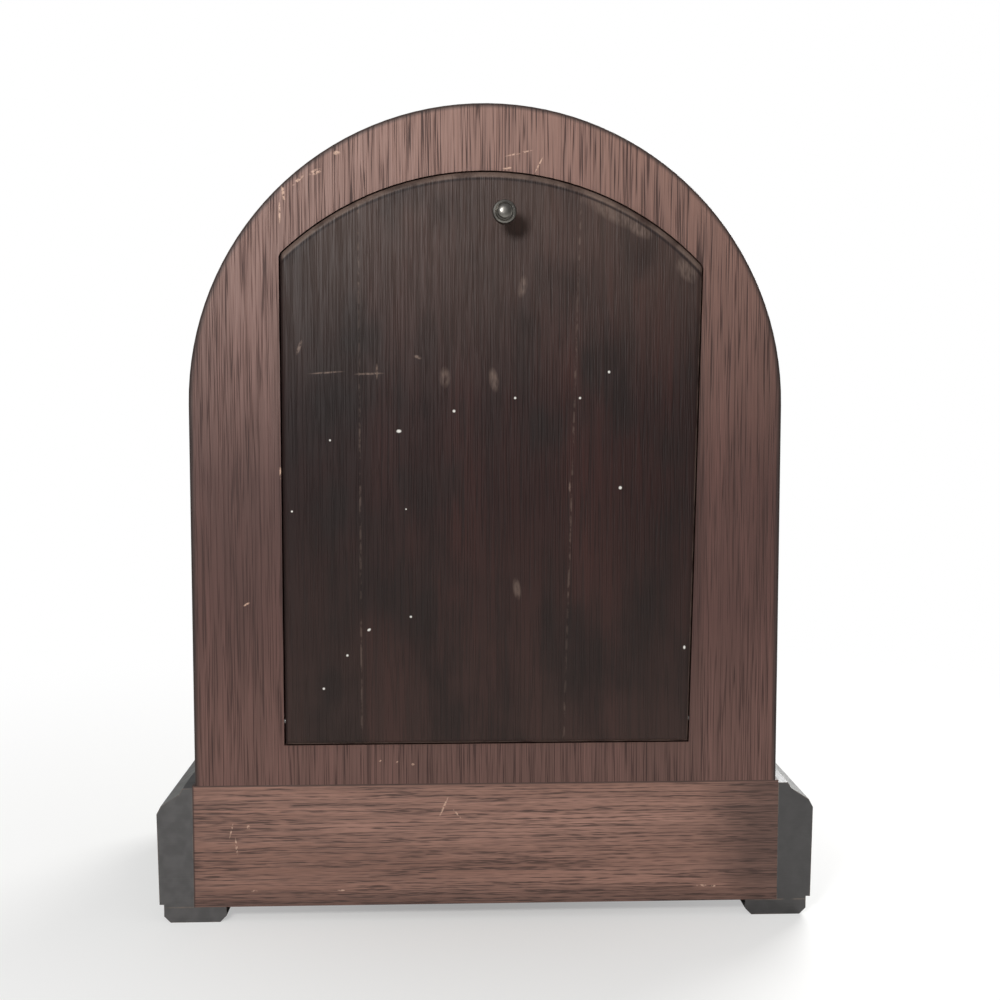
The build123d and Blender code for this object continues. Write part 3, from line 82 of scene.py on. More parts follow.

# Where the door's first board begins, how high painted light lightens its foot, and where its outer face begins
FIRST_BOARD_LOW, FIRST_BOARD_HIGH = 47 * MM, 53 * MM
DOOR_LIT_FOOT = DOOR_LOW.z + 100 * MM
OUTER_LOW, OUTER_HIGH = DOOR_HIGH.y - 2.5 * MM, DOOR_HIGH.y - 1.5 * MM

# The dial's divisions
HOURS, MINUTES = 12, 60
HOUR_STROKE = 3.0
TRACK_STEPS = 120
ROLL_STEP = 20

# Distances in metres between which the floor turns white; the first is negative, so that the clock's own
# place is a little lightened too. Then the sky's heights and its light at them, and the camera's film
FLOOR_FADE = (-0.3, 0.6)
SKY_FADE, SKY_LIGHT = (-0.1, 0.7), (0.1, 0.45)
FILM_WIDTH, NEAR_CLIP = 36.0, 0.01


def linear(hex_colour):
    """An sRGB hex colour as linear red, green and blue."""
    parts = [int(hex_colour[i:i + 2], 16) / 255 for i in (1, 3, 5)]
    return tuple(c / 12.92 if c <= 0.04045 else ((c + 0.055) / 1.055) ** 2.4 for c in parts)


def colour(name, hex_colour, description):
    """A colour that a user may change."""
    return FloatVectorProperty(name=name, description=description, subtype="COLOR", size=3, min=0.0, max=1.0,
                               default=linear(hex_colour))


def length(name, size_mm, description):
    """A size that a user may change, in metres as Blender holds it."""
    return FloatProperty(name=name, description=description, unit="LENGTH", min=0.0, default=size_mm * MM,
                         precision=5)


def position(name, metres, description):
    """A place that a user may change."""
    return FloatVectorProperty(name=name, description=description, subtype="TRANSLATION", unit="LENGTH",
                               size=3, default=metres)


class ClockWoods(bpy.types.PropertyGroup):
    """Colours and grain sizes of the woods."""
    veneer_light: colour("Veneer light", "#664741", "Light streaks of the walnut veneer")
    veneer_mid: colour("Veneer middle", "#523833", "Ground colour of the walnut veneer")
    veneer_dark: colour("Veneer dark", "#412c27", "Dark streaks of the walnut veneer")
    veneer_pore: colour("Veneer pores", "#2e1c18", "Open pores of the walnut veneer")
    # Colour that painted light mixes in towards the top of the arch and just above the rail
    veneer_faded: colour("Veneer faded", "#977468", "Where light has bleached the top of the arch")
    rail_light: colour("Rail light", "#a57c6d", "Light streaks of the mahogany rail")
    rail_mid: colour("Rail middle", "#8a6456", "Ground colour of the mahogany rail")
    rail_dark: colour("Rail dark", "#5b4037", "Dark streaks of the mahogany rail")
    # Also the colour of the painted shade towards the rail's ends and along its foot
    rail_pore: colour("Rail pores", "#382520", "Open pores of the mahogany rail")
    door_light: colour("Door light", "#3b221f", "Light streaks of the stained door")
    door_mid: colour("Door middle", "#2d1a18", "Ground colour of the stained door")
    # Also the colour of the painted shade inside the arch's round and along the door's upright side
    door_dark: colour("Door dark", "#1f1413", "Dark streaks of the stained door")
    door_soot: colour("Door soot", "#1b1716", "Cold black clouds on the stained door")
    door_rubbed: colour("Door rubbed", "#7d6a60", "Where the stain is worn through")
    # Worn-through stain, also used for painted light at the door's head and foot and for a painted highlight on
    # its rounded edges
    edge_stain: colour("Edge stain", "#2b2321", "Black stain along the edges of the boards")
    scratch: colour("Scratches", "#c3a08c", "Bare wood in a scratch")
    paint: colour("Paint specks", "#dcd9d2", "Specks of pale paint on the door")
    ebony: colour("Ebonised wood", "#1c1a1a", "Black lacquer on the plinth and the feet")
    # Also lightened further towards +X, the lamp's side, as painted light
    ebony_end: colour("Ebonised end grain", "#474545", "Dull black of the plinth's cut ends and the feet")
    ebony_worn: colour("Ebonised worn", "#6d5f55", "Where the black lacquer is rubbed thin")
    pine_light: colour("Pine light", "#c49a6c", "Early wood of the bare pine")
    pine_dark: colour("Pine dark", "#96683f", "Late wood of the bare pine")
    door_arch: length("Door arch", 119.0, "Radius of the door's arched head")
    # Growth lines and pores are drawn coarser than real ones, so that they show at the picture's scale
    ring_width: length("Ring width", 1.1, "Spacing of the growth lines across the grain")
    pore_width: length("Pore width", 0.36, "Spacing of the open pores across the grain")
    pore_length: length("Pore length", 20.0, "Length of an open pore along the grain")
    streak_width: length("Streak width", 3.2, "Width of a growth streak")
    streak_length: length("Streak length", 70.0, "Length of a growth streak along the grain")
    figure_width: length("Figure width", 16.0, "Width of the broad bands of colour")
    figure_length: length("Figure length", 190.0, "Length of the broad bands of colour")


class ClockMetals(bpy.types.PropertyGroup):
    """Colours of the metals, the glass and the iron."""
    brass: colour("Brass", "#c9a45c", "Lacquered brass of the bezel and the movement")
    brass_tarnish: colour("Brass tarnish", "#b28c48", "Darker brass in patches")
    bronze: colour("Bronze", "#7b7873", "Aged bronze of the knob where it is handled")
    bronze_dark: colour("Bronze dark", "#1c1916", "Dirt in the knob's hollows")
    steel: colour("Steel", "#a9a8a5", "Bright steel of arbors and levers")
    steel_dark: colour("Steel dark", "#6e6c69", "Duller steel in patches")
    blue: colour("Blued steel", "#1c2438", "Heat blue of the hands and the gong")
    blue_brown: colour("Blued steel edge", "#3a2a35", "Purple brown where the heat was less")
    iron: colour("Cast iron", "#242322", "Black paint on the gong stand")
    rust: colour("Rust", "#4a3528", "Rust through the paint of the gong stand")
    glass: colour("Glass", "#f4f7f6", "Faint tint of the glass")
    knob_shank: length("Knob shank", 2.0, "Radius of the knob's shank through the door")
    knob_gap: length("Knob gap", 0.05, "Air between the knob's collar and the door")
    grit: length("Casting grit", 0.7, "Size of the bumps on cast iron")
    # Coarser than real polishing marks, which wouldn't show
    brush_mark: length("Brush marks", 0.25, "Spacing of the polishing marks")


class ClockDial(bpy.types.PropertyGroup):
    """Sizes and colours of the dial and the hands."""
    enamel: colour("Enamel", "#e9e0c9", "Cream paint of the dial")
    enamel_aged: colour("Enamel aged", "#cdbb95", "Where the dial has yellowed")
    ink: colour("Ink", "#1b1816", "Black of the printed numbers")
    ink_worn: colour("Ink worn", "#4b4238", "Where the printing is rubbed")
    numeral_size: length("Numeral size", 15.0, "Height that the numbers are set in")
    numeral_radius: length("Numeral radius", 49.5, "Middle of the numbers from the dial's centre")
    track_inner: length("Track inside", 59.2, "Inner line of the minute track")
    track_outer: length("Track outside", 63.0, "Outer line of the minute track")
    track_line: length("Track line", 0.4, "Width of a line of the minute track")
    ink_depth: length("Ink depth", 0.06, "How far the printing stands off the dial")
    eyelet_radius: length("Eyelet radius", 6.3, "Outside of the brass ring round a winding hole")
    eyelet_depth: length("Eyelet depth", 0.6, "How far that ring stands off the dial")


class ClockStudio(bpy.types.PropertyGroup):
    """Camera, lamps and floor."""
    camera_place: position("Camera place", (0.0139, 0.5724, 0.2092), "Where the camera stands")
    camera_way: FloatVectorProperty(name="Camera direction", description="Which way the camera looks", size=3,
                                    subtype="DIRECTION", default=(-0.0366, -0.9969, -0.0703))
    camera_lens: FloatProperty(name="Lens", description="Focal length in millimetres", default=46.2)
    floor: colour("Floor", "#f1f1ee", "Pale floor under the clock")
    floor_size: length("Floor size", 12000.0, "Width of the floor")
    key_place: position("Key place", (0.2, 0.62, 0.42), "Where the main lamp stands")
    key_target: position("Key target", (0.0, 0.05, 0.2), "What the main lamp faces")
    key_size: length("Key size", 120.0, "Width of the main lamp")
    key_power: FloatProperty(name="Key power", description="Main lamp's power", unit="POWER", default=2.6)
    fill_place: position("Fill place", (-0.7, -1.0, 0.8), "Where the lamp on the dial's side stands")
    fill_target: position("Fill target", (0.0, 0.0, 0.18), "What that lamp faces")
    fill_size: length("Fill size", 700.0, "Width of that lamp")
    fill_power: FloatProperty(name="Fill power", description="Power of that lamp", unit="POWER", default=20.0)


def output(value):
    """The output that a node has in use; a socket or a plain value as it is."""
    if isinstance(value, bpy.types.Node):
        return next(socket for socket in value.outputs if socket.enabled)
    return value


def add(tree, kind, inputs=None, **settings):
    """Adds a shader node, sets its settings, and sets its inputs or links them to a node or a socket."""
    made = tree.nodes.new("ShaderNode" + kind)
    for name, value in settings.items():
        setattr(made, name, value)
    for key, value in (inputs or {}).items():
        value = output(value)
        if isinstance(value, bpy.types.NodeSocket):
            tree.links.new(value, made.inputs[key])
        else:
            made.inputs[key].default_value = value
    return made


def rgba(value):
    """A colour property as the four numbers that a socket takes."""
    return (*value, 1.0)


def new_material(name):
    """An empty material with a shader, and its tree."""
    material = bpy.data.materials.new(name)
    material.use_nodes = True
    tree = material.node_tree
    tree.nodes.clear()
    shader = add(tree, "BsdfPrincipled")
    add(tree, "OutputMaterial", {"Surface": shader})
    return material, tree, shader


def link(tree, node, **values):
    """Joins nodes or sockets to a node's inputs, which are named with underlines for spaces."""
    for name, value in values.items():
        tree.links.new(output(value), node.inputs[name.replace("_", " ")])


def stretched(tree, point, size, low, high, detail=2.0):
    """Noise whose cells have a real size in metres, cut between two levels."""
    cells = add(tree, "VectorMath", {0: point, 1: size}, operation="DIVIDE")
    noise = add(tree, "TexNoise", {"Vector": cells, "Scale": 1.0, "Detail": detail})
    return add(tree, "MapRange", {"Value": noise, "From Min": low, "From Max": high},
               interpolation_type="SMOOTHSTEP")


def grain(tree, space, woods, tones, streak_share, line_share, pore_length):
    """Colour and relief of a planed board: figure, streaks, growth lines and pores along Z of its space."""
    light, mid, dark, pore = (rgba(tone) for tone in tones)
    figure = stretched(tree, space, (woods.figure_width, woods.figure_width, woods.figure_length), 0.3, 0.7)
    streak = stretched(tree, space, (woods.streak_width, woods.streak_width, woods.streak_length), 0.3, 0.75,
                       3.0)
    ring = stretched(tree, space, (woods.ring_width, woods.ring_width, woods.streak_length), 0.0, 1.0, 1.0)
    ring = add(tree, "Math", {0: ring, 1: 0.5}, operation="SUBTRACT")
    ring = add(tree, "Math", {0: ring}, operation="ABSOLUTE")
    ring = add(tree, "MapRange", {"Value": ring, "From Min": 0.12, "From Max": 0.02})
    dash = stretched(tree, space, (woods.pore_width, woods.pore_width, pore_length), 0.35, 0.65, 1.0)
    ground = add(tree, "Mix", {0: figure, 6: light, 7: mid}, data_type="RGBA")
    streak_part = add(tree, "Math", {0: streak, 1: streak_share}, operation="MULTIPLY")
    ground = add(tree, "Mix", {0: streak_part, 6: ground, 7: dark}, data_type="RGBA")
    broken = add(tree, "MapRange", {"Value": dash, "To Min": 0.25})
    lines = add(tree, "Math", {0: ring, 1: broken}, operation="MULTIPLY")
    lines = add(tree, "Math", {0: dash, 1: 0.3, 2: lines}, operation="MULTIPLY_ADD", use_clamp=True)
    line_part = add(tree, "Math", {0: lines, 1: line_share}, operation="MULTIPLY")
    ground = add(tree, "Mix", {0: line_part, 6: ground, 7: pore}, data_type="RGBA")
    relief = add(tree, "Math", {0: streak, 1: -0.25, 2: 1.0}, operation="MULTIPLY_ADD")
    relief = add(tree, "Math", {0: relief, 1: lines}, operation="SUBTRACT")
    return ground, relief, lines


def marks(tree, point, places):
    """Soft oval marks on a board's back: across, up, half length, half width in mm, and a turn in degrees."""
    total = None
    for across, up, half_length, half_width, turn in places:
        local = add(tree, "Mapping", {
            "Vector": point, "Location": (across * MM, 0.0, up * MM), "Rotation": (0.0, radians(turn), 0.0),
            "Scale": (half_length * MM, 1.0, half_width * MM)}, vector_type="TEXTURE")
        reach = add(tree, "VectorMath", {0: local}, operation="LENGTH")
        spot = add(tree, "MapRange", {"Value": reach, "From Min": 1.0, "From Max": 0.5})
        if total is None:
            total = spot
        else:
            total = add(tree, "Math", {0: total, 1: spot}, operation="MAXIMUM")
    return total


def arch_reach(tree, point):
    """How far a point is inside the case's round-topped outline, in metres."""
    part = add(tree, "SeparateXYZ", {0: point})
    above = add(tree, "Math", {0: part.outputs["Z"], 1: SPRING_Z}, operation="SUBTRACT")
    above = add(tree, "Math", {0: above, 1: 0.0}, operation="MAXIMUM")
    flat = add(tree, "CombineXYZ", {"X": part.outputs["X"], "Z": above})
    out = add(tree, "VectorMath", {0: flat}, operation="LENGTH")
    return add(tree, "Math", {0: ARCH_RADIUS, 1: out}, operation="SUBTRACT")


BOARD_SCRATCHES = ((59.3, 310.0, 1.6, 1.0, 0.0), (67.7, 302.6, 3.0, 1.2, 20.0), (80.5, 294.5, 0.7, 4.5, 8.0),
                   (82.0, 287.0, 0.5, 5.0, 0.0), (75.0, 299.0, 4.0, 0.7, 40.0),
                   (-12.6, 310.4, 6.2, 0.45, 13.0), (-20.5, 306.0, 4.2, 0.4, 62.0), (-8.0, 304.5, 3.0, 0.5, 10.0),
                   (82.5, 183.5, 0.9, 3.2, 8.0), (97.0, 131.0, 1.6, 0.5, 30.0), (44.0, 66.5, 0.8, 0.5, 0.0),
                   (37.0, 66.0, 0.9, 0.5, 20.0), (30.5, 64.8, 0.7, 0.6, 0.0))


def veneer_grain(tree, space, woods):
    """Grain of sliced walnut along Z of its space."""
    tones = (woods.veneer_light, woods.veneer_mid, woods.veneer_dark, woods.veneer_pore)
    return grain(tree, space, woods, tones, streak_share=0.35, line_share=0.68, pore_length=woods.pore_length)


def pine_grain(tree, space, woods, thickness, low, high):
    """Colour of sawn pine: pale early wood, with lines of brown late wood along Z of its space."""
    late = stretched(tree, space, (woods.streak_width, thickness, woods.figure_length), low, high)
    return add(tree, "Mix", {0: late, 6: rgba(woods.pine_light), 7: rgba(woods.pine_dark)}, data_type="RGBA")


def walnut_veneer(name, woods):
    """Sliced walnut, waxed: open pores along the grain, painted light towards the top and just above the rail,
    edges stained dark.
    """
    material, tree, shader = new_material(name)
    point = add(tree, "TexCoord").outputs["Object"]
    ground, relief, lines = veneer_grain(tree, point, woods)
    part = add(tree, "SeparateXYZ", {0: point})
    # Painted light: the veneer turns lighter towards the top of the arch and just above the rail, with its pores
    # kept dark
    brightened = add(tree, "MapRange", {
        "Value": part.outputs["Z"], "From Min": LIT_TOP_LOW, "From Max": LIT_TOP_HIGH,
        "To Max": 0.85})
    lit_foot = add(tree, "MapRange", {
        "Value": part.outputs["Z"], "From Min": LIT_FOOT_HIGH, "From Max": LIT_FOOT_LOW,
        "To Max": 0.2})
    brightened = add(tree, "Math", {0: brightened, 1: lit_foot}, operation="MAXIMUM")
    sound = add(tree, "Math", {0: lines, 1: -0.95, 2: 1.0}, operation="MULTIPLY_ADD")
    brightened = add(tree, "Math", {0: brightened, 1: sound}, operation="MULTIPLY")
    ground = add(tree, "Mix", {0: brightened, 6: ground, 7: rgba(woods.veneer_faded)}, data_type="RGBA")
    edge = add(tree, "MapRange", {
        "Value": arch_reach(tree, point), "From Min": 2.6 * MM, "From Max": 0.6 * MM, "To Max": 0.85},
        interpolation_type="SMOOTHSTEP")
    ground = add(tree, "Mix", {0: edge, 6: ground, 7: rgba(woods.edge_stain)}, data_type="RGBA")
    behind = add(tree, "Math", {0: part.outputs["Y"], 1: FRONT_HIGH.y - SKIN}, operation="GREATER_THAN")
    before = add(tree, "Math", {0: part.outputs["Y"], 1: PANEL_LOW.y + SKIN}, operation="LESS_THAN")
    inside = add(tree, "Math", {0: behind, 1: before}, operation="MULTIPLY")
    pine = pine_grain(tree, point, woods, woods.streak_width, 0.4, 0.6)
    ground = add(tree, "Mix", {0: inside, 6: ground, 7: pine}, data_type="RGBA")
    crumbs = stretched(tree, point, (1.1 * MM,) * 3, 0.4, 0.6)
    back = add(tree, "Math", {0: part.outputs["Y"], 1: 0.0}, operation="GREATER_THAN")
    crumbs = add(tree, "Math", {0: crumbs, 1: back}, operation="MULTIPLY")
    scratch = add(tree, "Math", {0: marks(tree, point, BOARD_SCRATCHES), 1: crumbs}, operation="MULTIPLY")
    ground = add(tree, "Mix", {0: scratch, 6: ground, 7: rgba(woods.scratch)}, data_type="RGBA")
    rough = add(tree, "MapRange", {"Value": relief, "To Min": 0.62, "To Max": 0.46})
    bump = add(tree, "Bump", {"Strength": 0.45, "Distance": 0.15 * MM, "Height": relief})
    link(tree, shader, Base_Color=ground, Roughness=rough, Normal=bump)
    shader.inputs["Specular IOR Level"].default_value = 0.35
    return material


def bent_veneer(name, woods):
    """Walnut bent round the case: its grain follows the arch, and the inside of the shell is bare pine."""
    material, tree, shader = new_material(name)
    point = add(tree, "TexCoord").outputs["Object"]
    part = add(tree, "SeparateXYZ", {0: point})
    above = add(tree, "Math", {0: part.outputs["Z"], 1: SPRING_Z}, operation="SUBTRACT")
    rise = add(tree, "Math", {0: above, 1: 0.0}, operation="MAXIMUM")
    turn = add(tree, "Math", {0: rise, 1: part.outputs["X"]}, operation="ARCTAN2")
    arc = add(tree, "Math", {0: turn, 1: ARCH_RADIUS}, operation="MULTIPLY")
    drop = add(tree, "Math", {0: above, 1: 0.0}, operation="MINIMUM")
    along = add(tree, "Math", {0: arc, 1: drop}, operation="ADD")
    reach = arch_reach(tree, point)
    space = add(tree, "CombineXYZ", {"X": part.outputs["Y"], "Y": reach, "Z": along})
    ground, relief, _ = veneer_grain(tree, space, woods)
    inside = add(tree, "Math", {0: reach, 1: 1.0 * MM}, operation="GREATER_THAN")
    pine = pine_grain(tree, space, woods, woods.streak_width, 0.4, 0.6)
    ground = add(tree, "Mix", {0: inside, 6: ground, 7: pine}, data_type="RGBA")
    bump = add(tree, "Bump", {"Strength": 0.4, "Distance": 0.15 * MM, "Height": relief})
    rough = add(tree, "MapRange", {"Value": inside, "To Min": 0.4, "To Max": 0.75})
    link(tree, shader, Base_Color=ground, Roughness=rough, Normal=bump)
    return material


RAIL_SCRATCHES = ((104.5, 38.0, 0.4, 3.6, -14.0), (102.5, 31.5, 0.5, 4.0, 6.0), (97.5, 39.5, 0.8, 1.0, 0.0),
                  (18.0, 47.0, 0.5, 5.2, -24.0), (12.5, 44.0, 0.4, 3.0, 40.0), (-88.5, 12.6, 2.6, 0.6, 0.0),
                  (-93.5, 12.4, 1.2, 0.5, 0.0), (95.5, 12.8, 1.4, 0.5, 0.0), (60.0, 12.6, 1.8, 0.4, 0.0))


def mahogany_rail(name, woods):
    """A solid mahogany rail with level grain, waxed, with painted shade towards its ends and up from its foot,
    and chipped along its foot.
    """
    material, tree, shader = new_material(name)
    point = add(tree, "TexCoord").outputs["Object"]
    part = add(tree, "SeparateXYZ", {0: point})
    space = add(tree, "CombineXYZ", {
        "X": part.outputs["Z"], "Y": part.outputs["Y"], "Z": part.outputs["X"]})
    tones = (woods.rail_light, woods.rail_mid, woods.rail_dark, woods.rail_pore)
    ground, relief, _ = grain(tree, space, woods, tones, streak_share=0.4, line_share=0.85,
                              pore_length=woods.pore_length / 3)
    # Painted shade: the rail darkens towards its ends, most at the -X end away from the lamp, and up from its
    # foot; the dark lines at its joint with the plinth and along its head are joints
    aside = add(tree, "Math", {0: part.outputs["X"], 1: RAIL_MIDDLE}, operation="SUBTRACT")
    aside = add(tree, "Math", {0: aside}, operation="ABSOLUTE")
    wander = stretched(tree, point, (14 * MM,) * 3, 0.0, 1.0, 3.0)
    aside = add(tree, "Math", {0: wander, 1: 18 * MM, 2: aside}, operation="MULTIPLY_ADD")
    ends = add(tree, "MapRange", {
        "Value": aside, "From Min": RAIL_END_LOW, "From Max": RAIL_END_HIGH, "To Max": 0.6},
        interpolation_type="SMOOTHSTEP")
    foot = add(tree, "MapRange", {
        "Value": part.outputs["Z"], "From Min": RAIL_FOOT_SHADE, "From Max": RAIL_LOW.z, "To Max": 0.55},
        interpolation_type="SMOOTHSTEP")
    joint = add(tree, "Math", {0: RAIL_HIGH.x, 1: part.outputs["X"]}, operation="SUBTRACT")
    head = add(tree, "Math", {0: RAIL_HIGH.z, 1: part.outputs["Z"]}, operation="SUBTRACT")
    joint = add(tree, "Math", {0: joint, 1: head}, operation="MINIMUM")
    joint = add(tree, "MapRange", {
        "Value": joint, "From Min": 0.9 * MM, "From Max": 0.3 * MM, "To Max": 0.9})
    shade = add(tree, "Math", {0: ends, 1: foot}, operation="MAXIMUM")
    shade = add(tree, "Math", {0: shade, 1: joint}, operation="MAXIMUM")
    ground = add(tree, "Mix", {0: shade, 6: ground, 7: rgba(woods.rail_pore)}, data_type="RGBA")
    crumbs = stretched(tree, point, (1.0 * MM,) * 3, 0.4, 0.58)
    scratch = add(tree, "Math", {0: marks(tree, point, RAIL_SCRATCHES), 1: crumbs}, operation="MULTIPLY")
    ground = add(tree, "Mix", {0: scratch, 6: ground, 7: rgba(woods.scratch)}, data_type="RGBA")
    rough = add(tree, "MapRange", {"Value": relief, "To Min": 0.6, "To Max": 0.45})
    bump = add(tree, "Bump", {"Strength": 0.45, "Distance": 0.15 * MM, "Height": relief})
    link(tree, shader, Base_Color=ground, Roughness=rough, Normal=bump)
    return material


DOOR_SPECKS = ((35.4, 200.6, 1.2, 0.8, 0.0), (13.4, 208.6, 0.7, 0.7, 0.0), (-11.0, 213.8, 0.6, 0.6, 0.0),
               (-37.0, 213.8, 0.6, 0.6, 0.0), (-48.6, 224.2, 0.6, 0.7, 0.0), (-53.4, 177.8, 0.8, 0.8, 0.0),
               (47.8, 120.7, 0.9, 0.6, 30.0), (56.6, 110.3, 0.6, 0.6, 0.0), (31.0, 125.9, 0.6, 0.6, 0.0),
               (-80.0, 112.7, 0.6, 0.9, 0.0), (66.2, 96.8, 0.6, 0.6, 0.0), (62.8, 197.0, 0.5, 0.5, 0.0),
               (78.2, 168.6, 0.5, 0.5, 0.0), (32.7, 169.4, 0.4, 0.4, 0.0))
DOOR_SCUFFS = ((74.6, 233.7, 0.8, 3.4, -20.0), (47.0, 223.4, 6.5, 0.5, 2.0), (44.0, 224.2, 0.5, 3.6, 0.0),
               (27.8, 230.0, 1.8, 0.8, -20.0), (64.0, 223.8, 8.0, 0.4, 4.0), (-33.0, 178.0, 0.5, 2.5, 0.0))
DOOR_PATCHES = ((-50.0, 287.5, 16.0, 4.4, -29.0), (-60.0, 281.0, 7.0, 3.2, -35.0),
                (-79.5, 264.5, 6.5, 3.8, -50.0),
                (17.0, 222.0, 2.4, 4.6, 0.0), (-2.5, 221.0, 2.2, 5.4, 10.0), (-11.8, 137.0, 1.8, 5.0, 8.0),
                (-14.0, 258.0, 2.0, 5.0, -12.0))

# Glue joints between the door's boards: across at the foot in mm, and their lean for each unit of height
DOOR_JOINTS = ((51.0, 0.0), (-28.7, 0.0287))


def door_reach(tree, part, woods):
    """How far a point is inside the door's arch, its leaning side and foot, and its upright side."""
    arch_z = DOOR_HIGH.z - woods.door_arch
    up = add(tree, "Math", {0: part.outputs["Z"], 1: arch_z}, operation="SUBTRACT")
    up = add(tree, "Math", {0: up, 1: 0.0}, operation="MAXIMUM")
    flat = add(tree, "CombineXYZ", {"X": part.outputs["X"], "Z": up})
    out = add(tree, "VectorMath", {0: flat}, operation="LENGTH")
    arch = add(tree, "Math", {0: woods.door_arch, 1: out}, operation="SUBTRACT")
    shoulder_z = arch_z + (woods.door_arch ** 2 - DOOR_LOW.x ** 2) ** 0.5
    lean = (-DOOR_LOW.x - DOOR_HIGH.x) / (shoulder_z - DOOR_LOW.z)
    leaning = add(tree, "Math", {0: part.outputs["Z"], 1: lean, 2: part.outputs["X"]},
                     operation="MULTIPLY_ADD")
    leaning = add(tree, "Math", {0: leaning, 1: DOOR_HIGH.x - lean * DOOR_LOW.z}, operation="ADD")
    upright = add(tree, "Math", {0: DOOR_HIGH.x, 1: part.outputs["X"]}, operation="SUBTRACT")
    foot = add(tree, "Math", {0: part.outputs["Z"], 1: DOOR_LOW.z}, operation="SUBTRACT")
    return arch, add(tree, "Math", {0: leaning, 1: foot}, operation="MINIMUM"), upright


def stained_door(name, woods):
    """A door of jointed boards, stained nearly black: worn arrises with a painted highlight, painted light at its
    head and foot, painted shade lines in its arch and along its upright side, joint lines, scuffs, paint specks.
    """
    material, tree, shader = new_material(name)
    point = add(tree, "TexCoord").outputs["Object"]
    part = add(tree, "SeparateXYZ", {0: point})
    tones = (woods.door_light, woods.door_mid, woods.door_dark, woods.door_dark)
    ground, relief, _ = grain(tree, point, woods, tones, streak_share=0.4, line_share=0.7,
                              pore_length=woods.pore_length)
    first = add(tree, "MapRange", {
        "Value": part.outputs["X"], "From Min": FIRST_BOARD_LOW, "From Max": FIRST_BOARD_HIGH, "To Max": 0.6})
    ground = add(tree, "Mix", {0: first, 6: ground, 7: rgba(woods.door_dark)}, data_type="RGBA")
    for foot_x, lean in DOOR_JOINTS:
        off = add(tree, "Math", {0: part.outputs["Z"], 1: lean, 2: part.outputs["X"]},
                  operation="MULTIPLY_ADD")
        off = add(tree, "Math", {0: off, 1: foot_x * MM}, operation="SUBTRACT")
        off = add(tree, "Math", {0: off}, operation="ABSOLUTE")
        seam = add(tree, "MapRange", {
            "Value": off, "From Min": 0.6 * MM, "From Max": 0.1 * MM, "To Max": 0.35})
        broken = stretched(tree, point, (2 * MM, 2 * MM, 3 * MM), 0.42, 0.62, 3.0)
        seam = add(tree, "Math", {0: seam, 1: broken}, operation="MULTIPLY")
        ground = add(tree, "Mix", {0: seam, 6: ground, 7: rgba(woods.door_rubbed)}, data_type="RGBA")
    # Painted light: the door turns lighter towards its arched head, as painted sheen, and a little towards its
    # foot
    head = add(tree, "MapRange", {
        "Value": part.outputs["Z"], "From Min": SPRING_Z, "From Max": DOOR_HIGH.z, "To Max": 0.25})
    low = add(tree, "MapRange", {
        "Value": part.outputs["Z"], "From Min": DOOR_LIT_FOOT, "From Max": DOOR_LOW.z, "To Max": 0.1})
    lit_head_and_foot = add(tree, "Math", {0: head, 1: low}, operation="MAXIMUM")
    ground = add(tree, "Mix", {0: lit_head_and_foot, 6: ground, 7: rgba(woods.door_rubbed)}, data_type="RGBA")
    cloud = stretched(tree, point, (28 * MM, 28 * MM, 48 * MM), 0.42, 0.68, 3.0)
    cloud = add(tree, "Math", {0: cloud, 1: 0.6}, operation="MULTIPLY")
    ground = add(tree, "Mix", {0: cloud, 6: ground, 7: rgba(woods.door_soot)}, data_type="RGBA")
    outer = add(tree, "MapRange", {
        "Value": part.outputs["Y"], "From Min": OUTER_LOW, "From Max": OUTER_HIGH})
    crumbs = stretched(tree, point, (1.2 * MM,) * 3, 0.25, 0.6)
    crumbs = add(tree, "Math", {0: crumbs, 1: outer}, operation="MULTIPLY")
    scuff = add(tree, "Math", {0: marks(tree, point, DOOR_SCUFFS), 1: crumbs}, operation="MULTIPLY")
    scuff = add(tree, "Math", {0: scuff, 1: 0.7}, operation="MULTIPLY")
    ground = add(tree, "Mix", {0: scuff, 6: ground, 7: rgba(woods.door_rubbed)}, data_type="RGBA")
    thin = stretched(tree, point, (0.9 * MM, 0.9 * MM, 3.0 * MM), 0.1, 0.75, 3.0)
    thin = add(tree, "Math", {0: marks(tree, point, DOOR_PATCHES), 1: thin}, operation="MULTIPLY")
    thin = add(tree, "Math", {0: thin, 1: 0.5}, operation="MULTIPLY")
    thin = add(tree, "Math", {0: thin, 1: outer}, operation="MULTIPLY")
    ground = add(tree, "Mix", {0: thin, 6: ground, 7: rgba(woods.door_rubbed)}, data_type="RGBA")
    arch, side, upright = door_reach(tree, part, woods)
    patches = stretched(tree, point, (9 * MM,) * 3, 0.25, 0.6, 3.0)
    patches = add(tree, "Math", {0: patches, 1: outer}, operation="MULTIPLY")
    # Worn arrises with a painted highlight: the rounded arch and the leaning side and foot turn lighter in
    # patches, as a round edge catching the lamp
    for reach, full, none, share in ((arch, 1.9 * MM, 2.5 * MM, 0.55), (side, 0.4 * MM, 0.9 * MM, 0.6)):
        worn = add(tree, "MapRange", {
            "Value": reach, "From Min": none, "From Max": full, "To Max": share})
        worn = add(tree, "Math", {0: worn, 1: patches}, operation="MULTIPLY")
        ground = add(tree, "Mix", {0: worn, 6: ground, 7: rgba(woods.door_rubbed)}, data_type="RGBA")
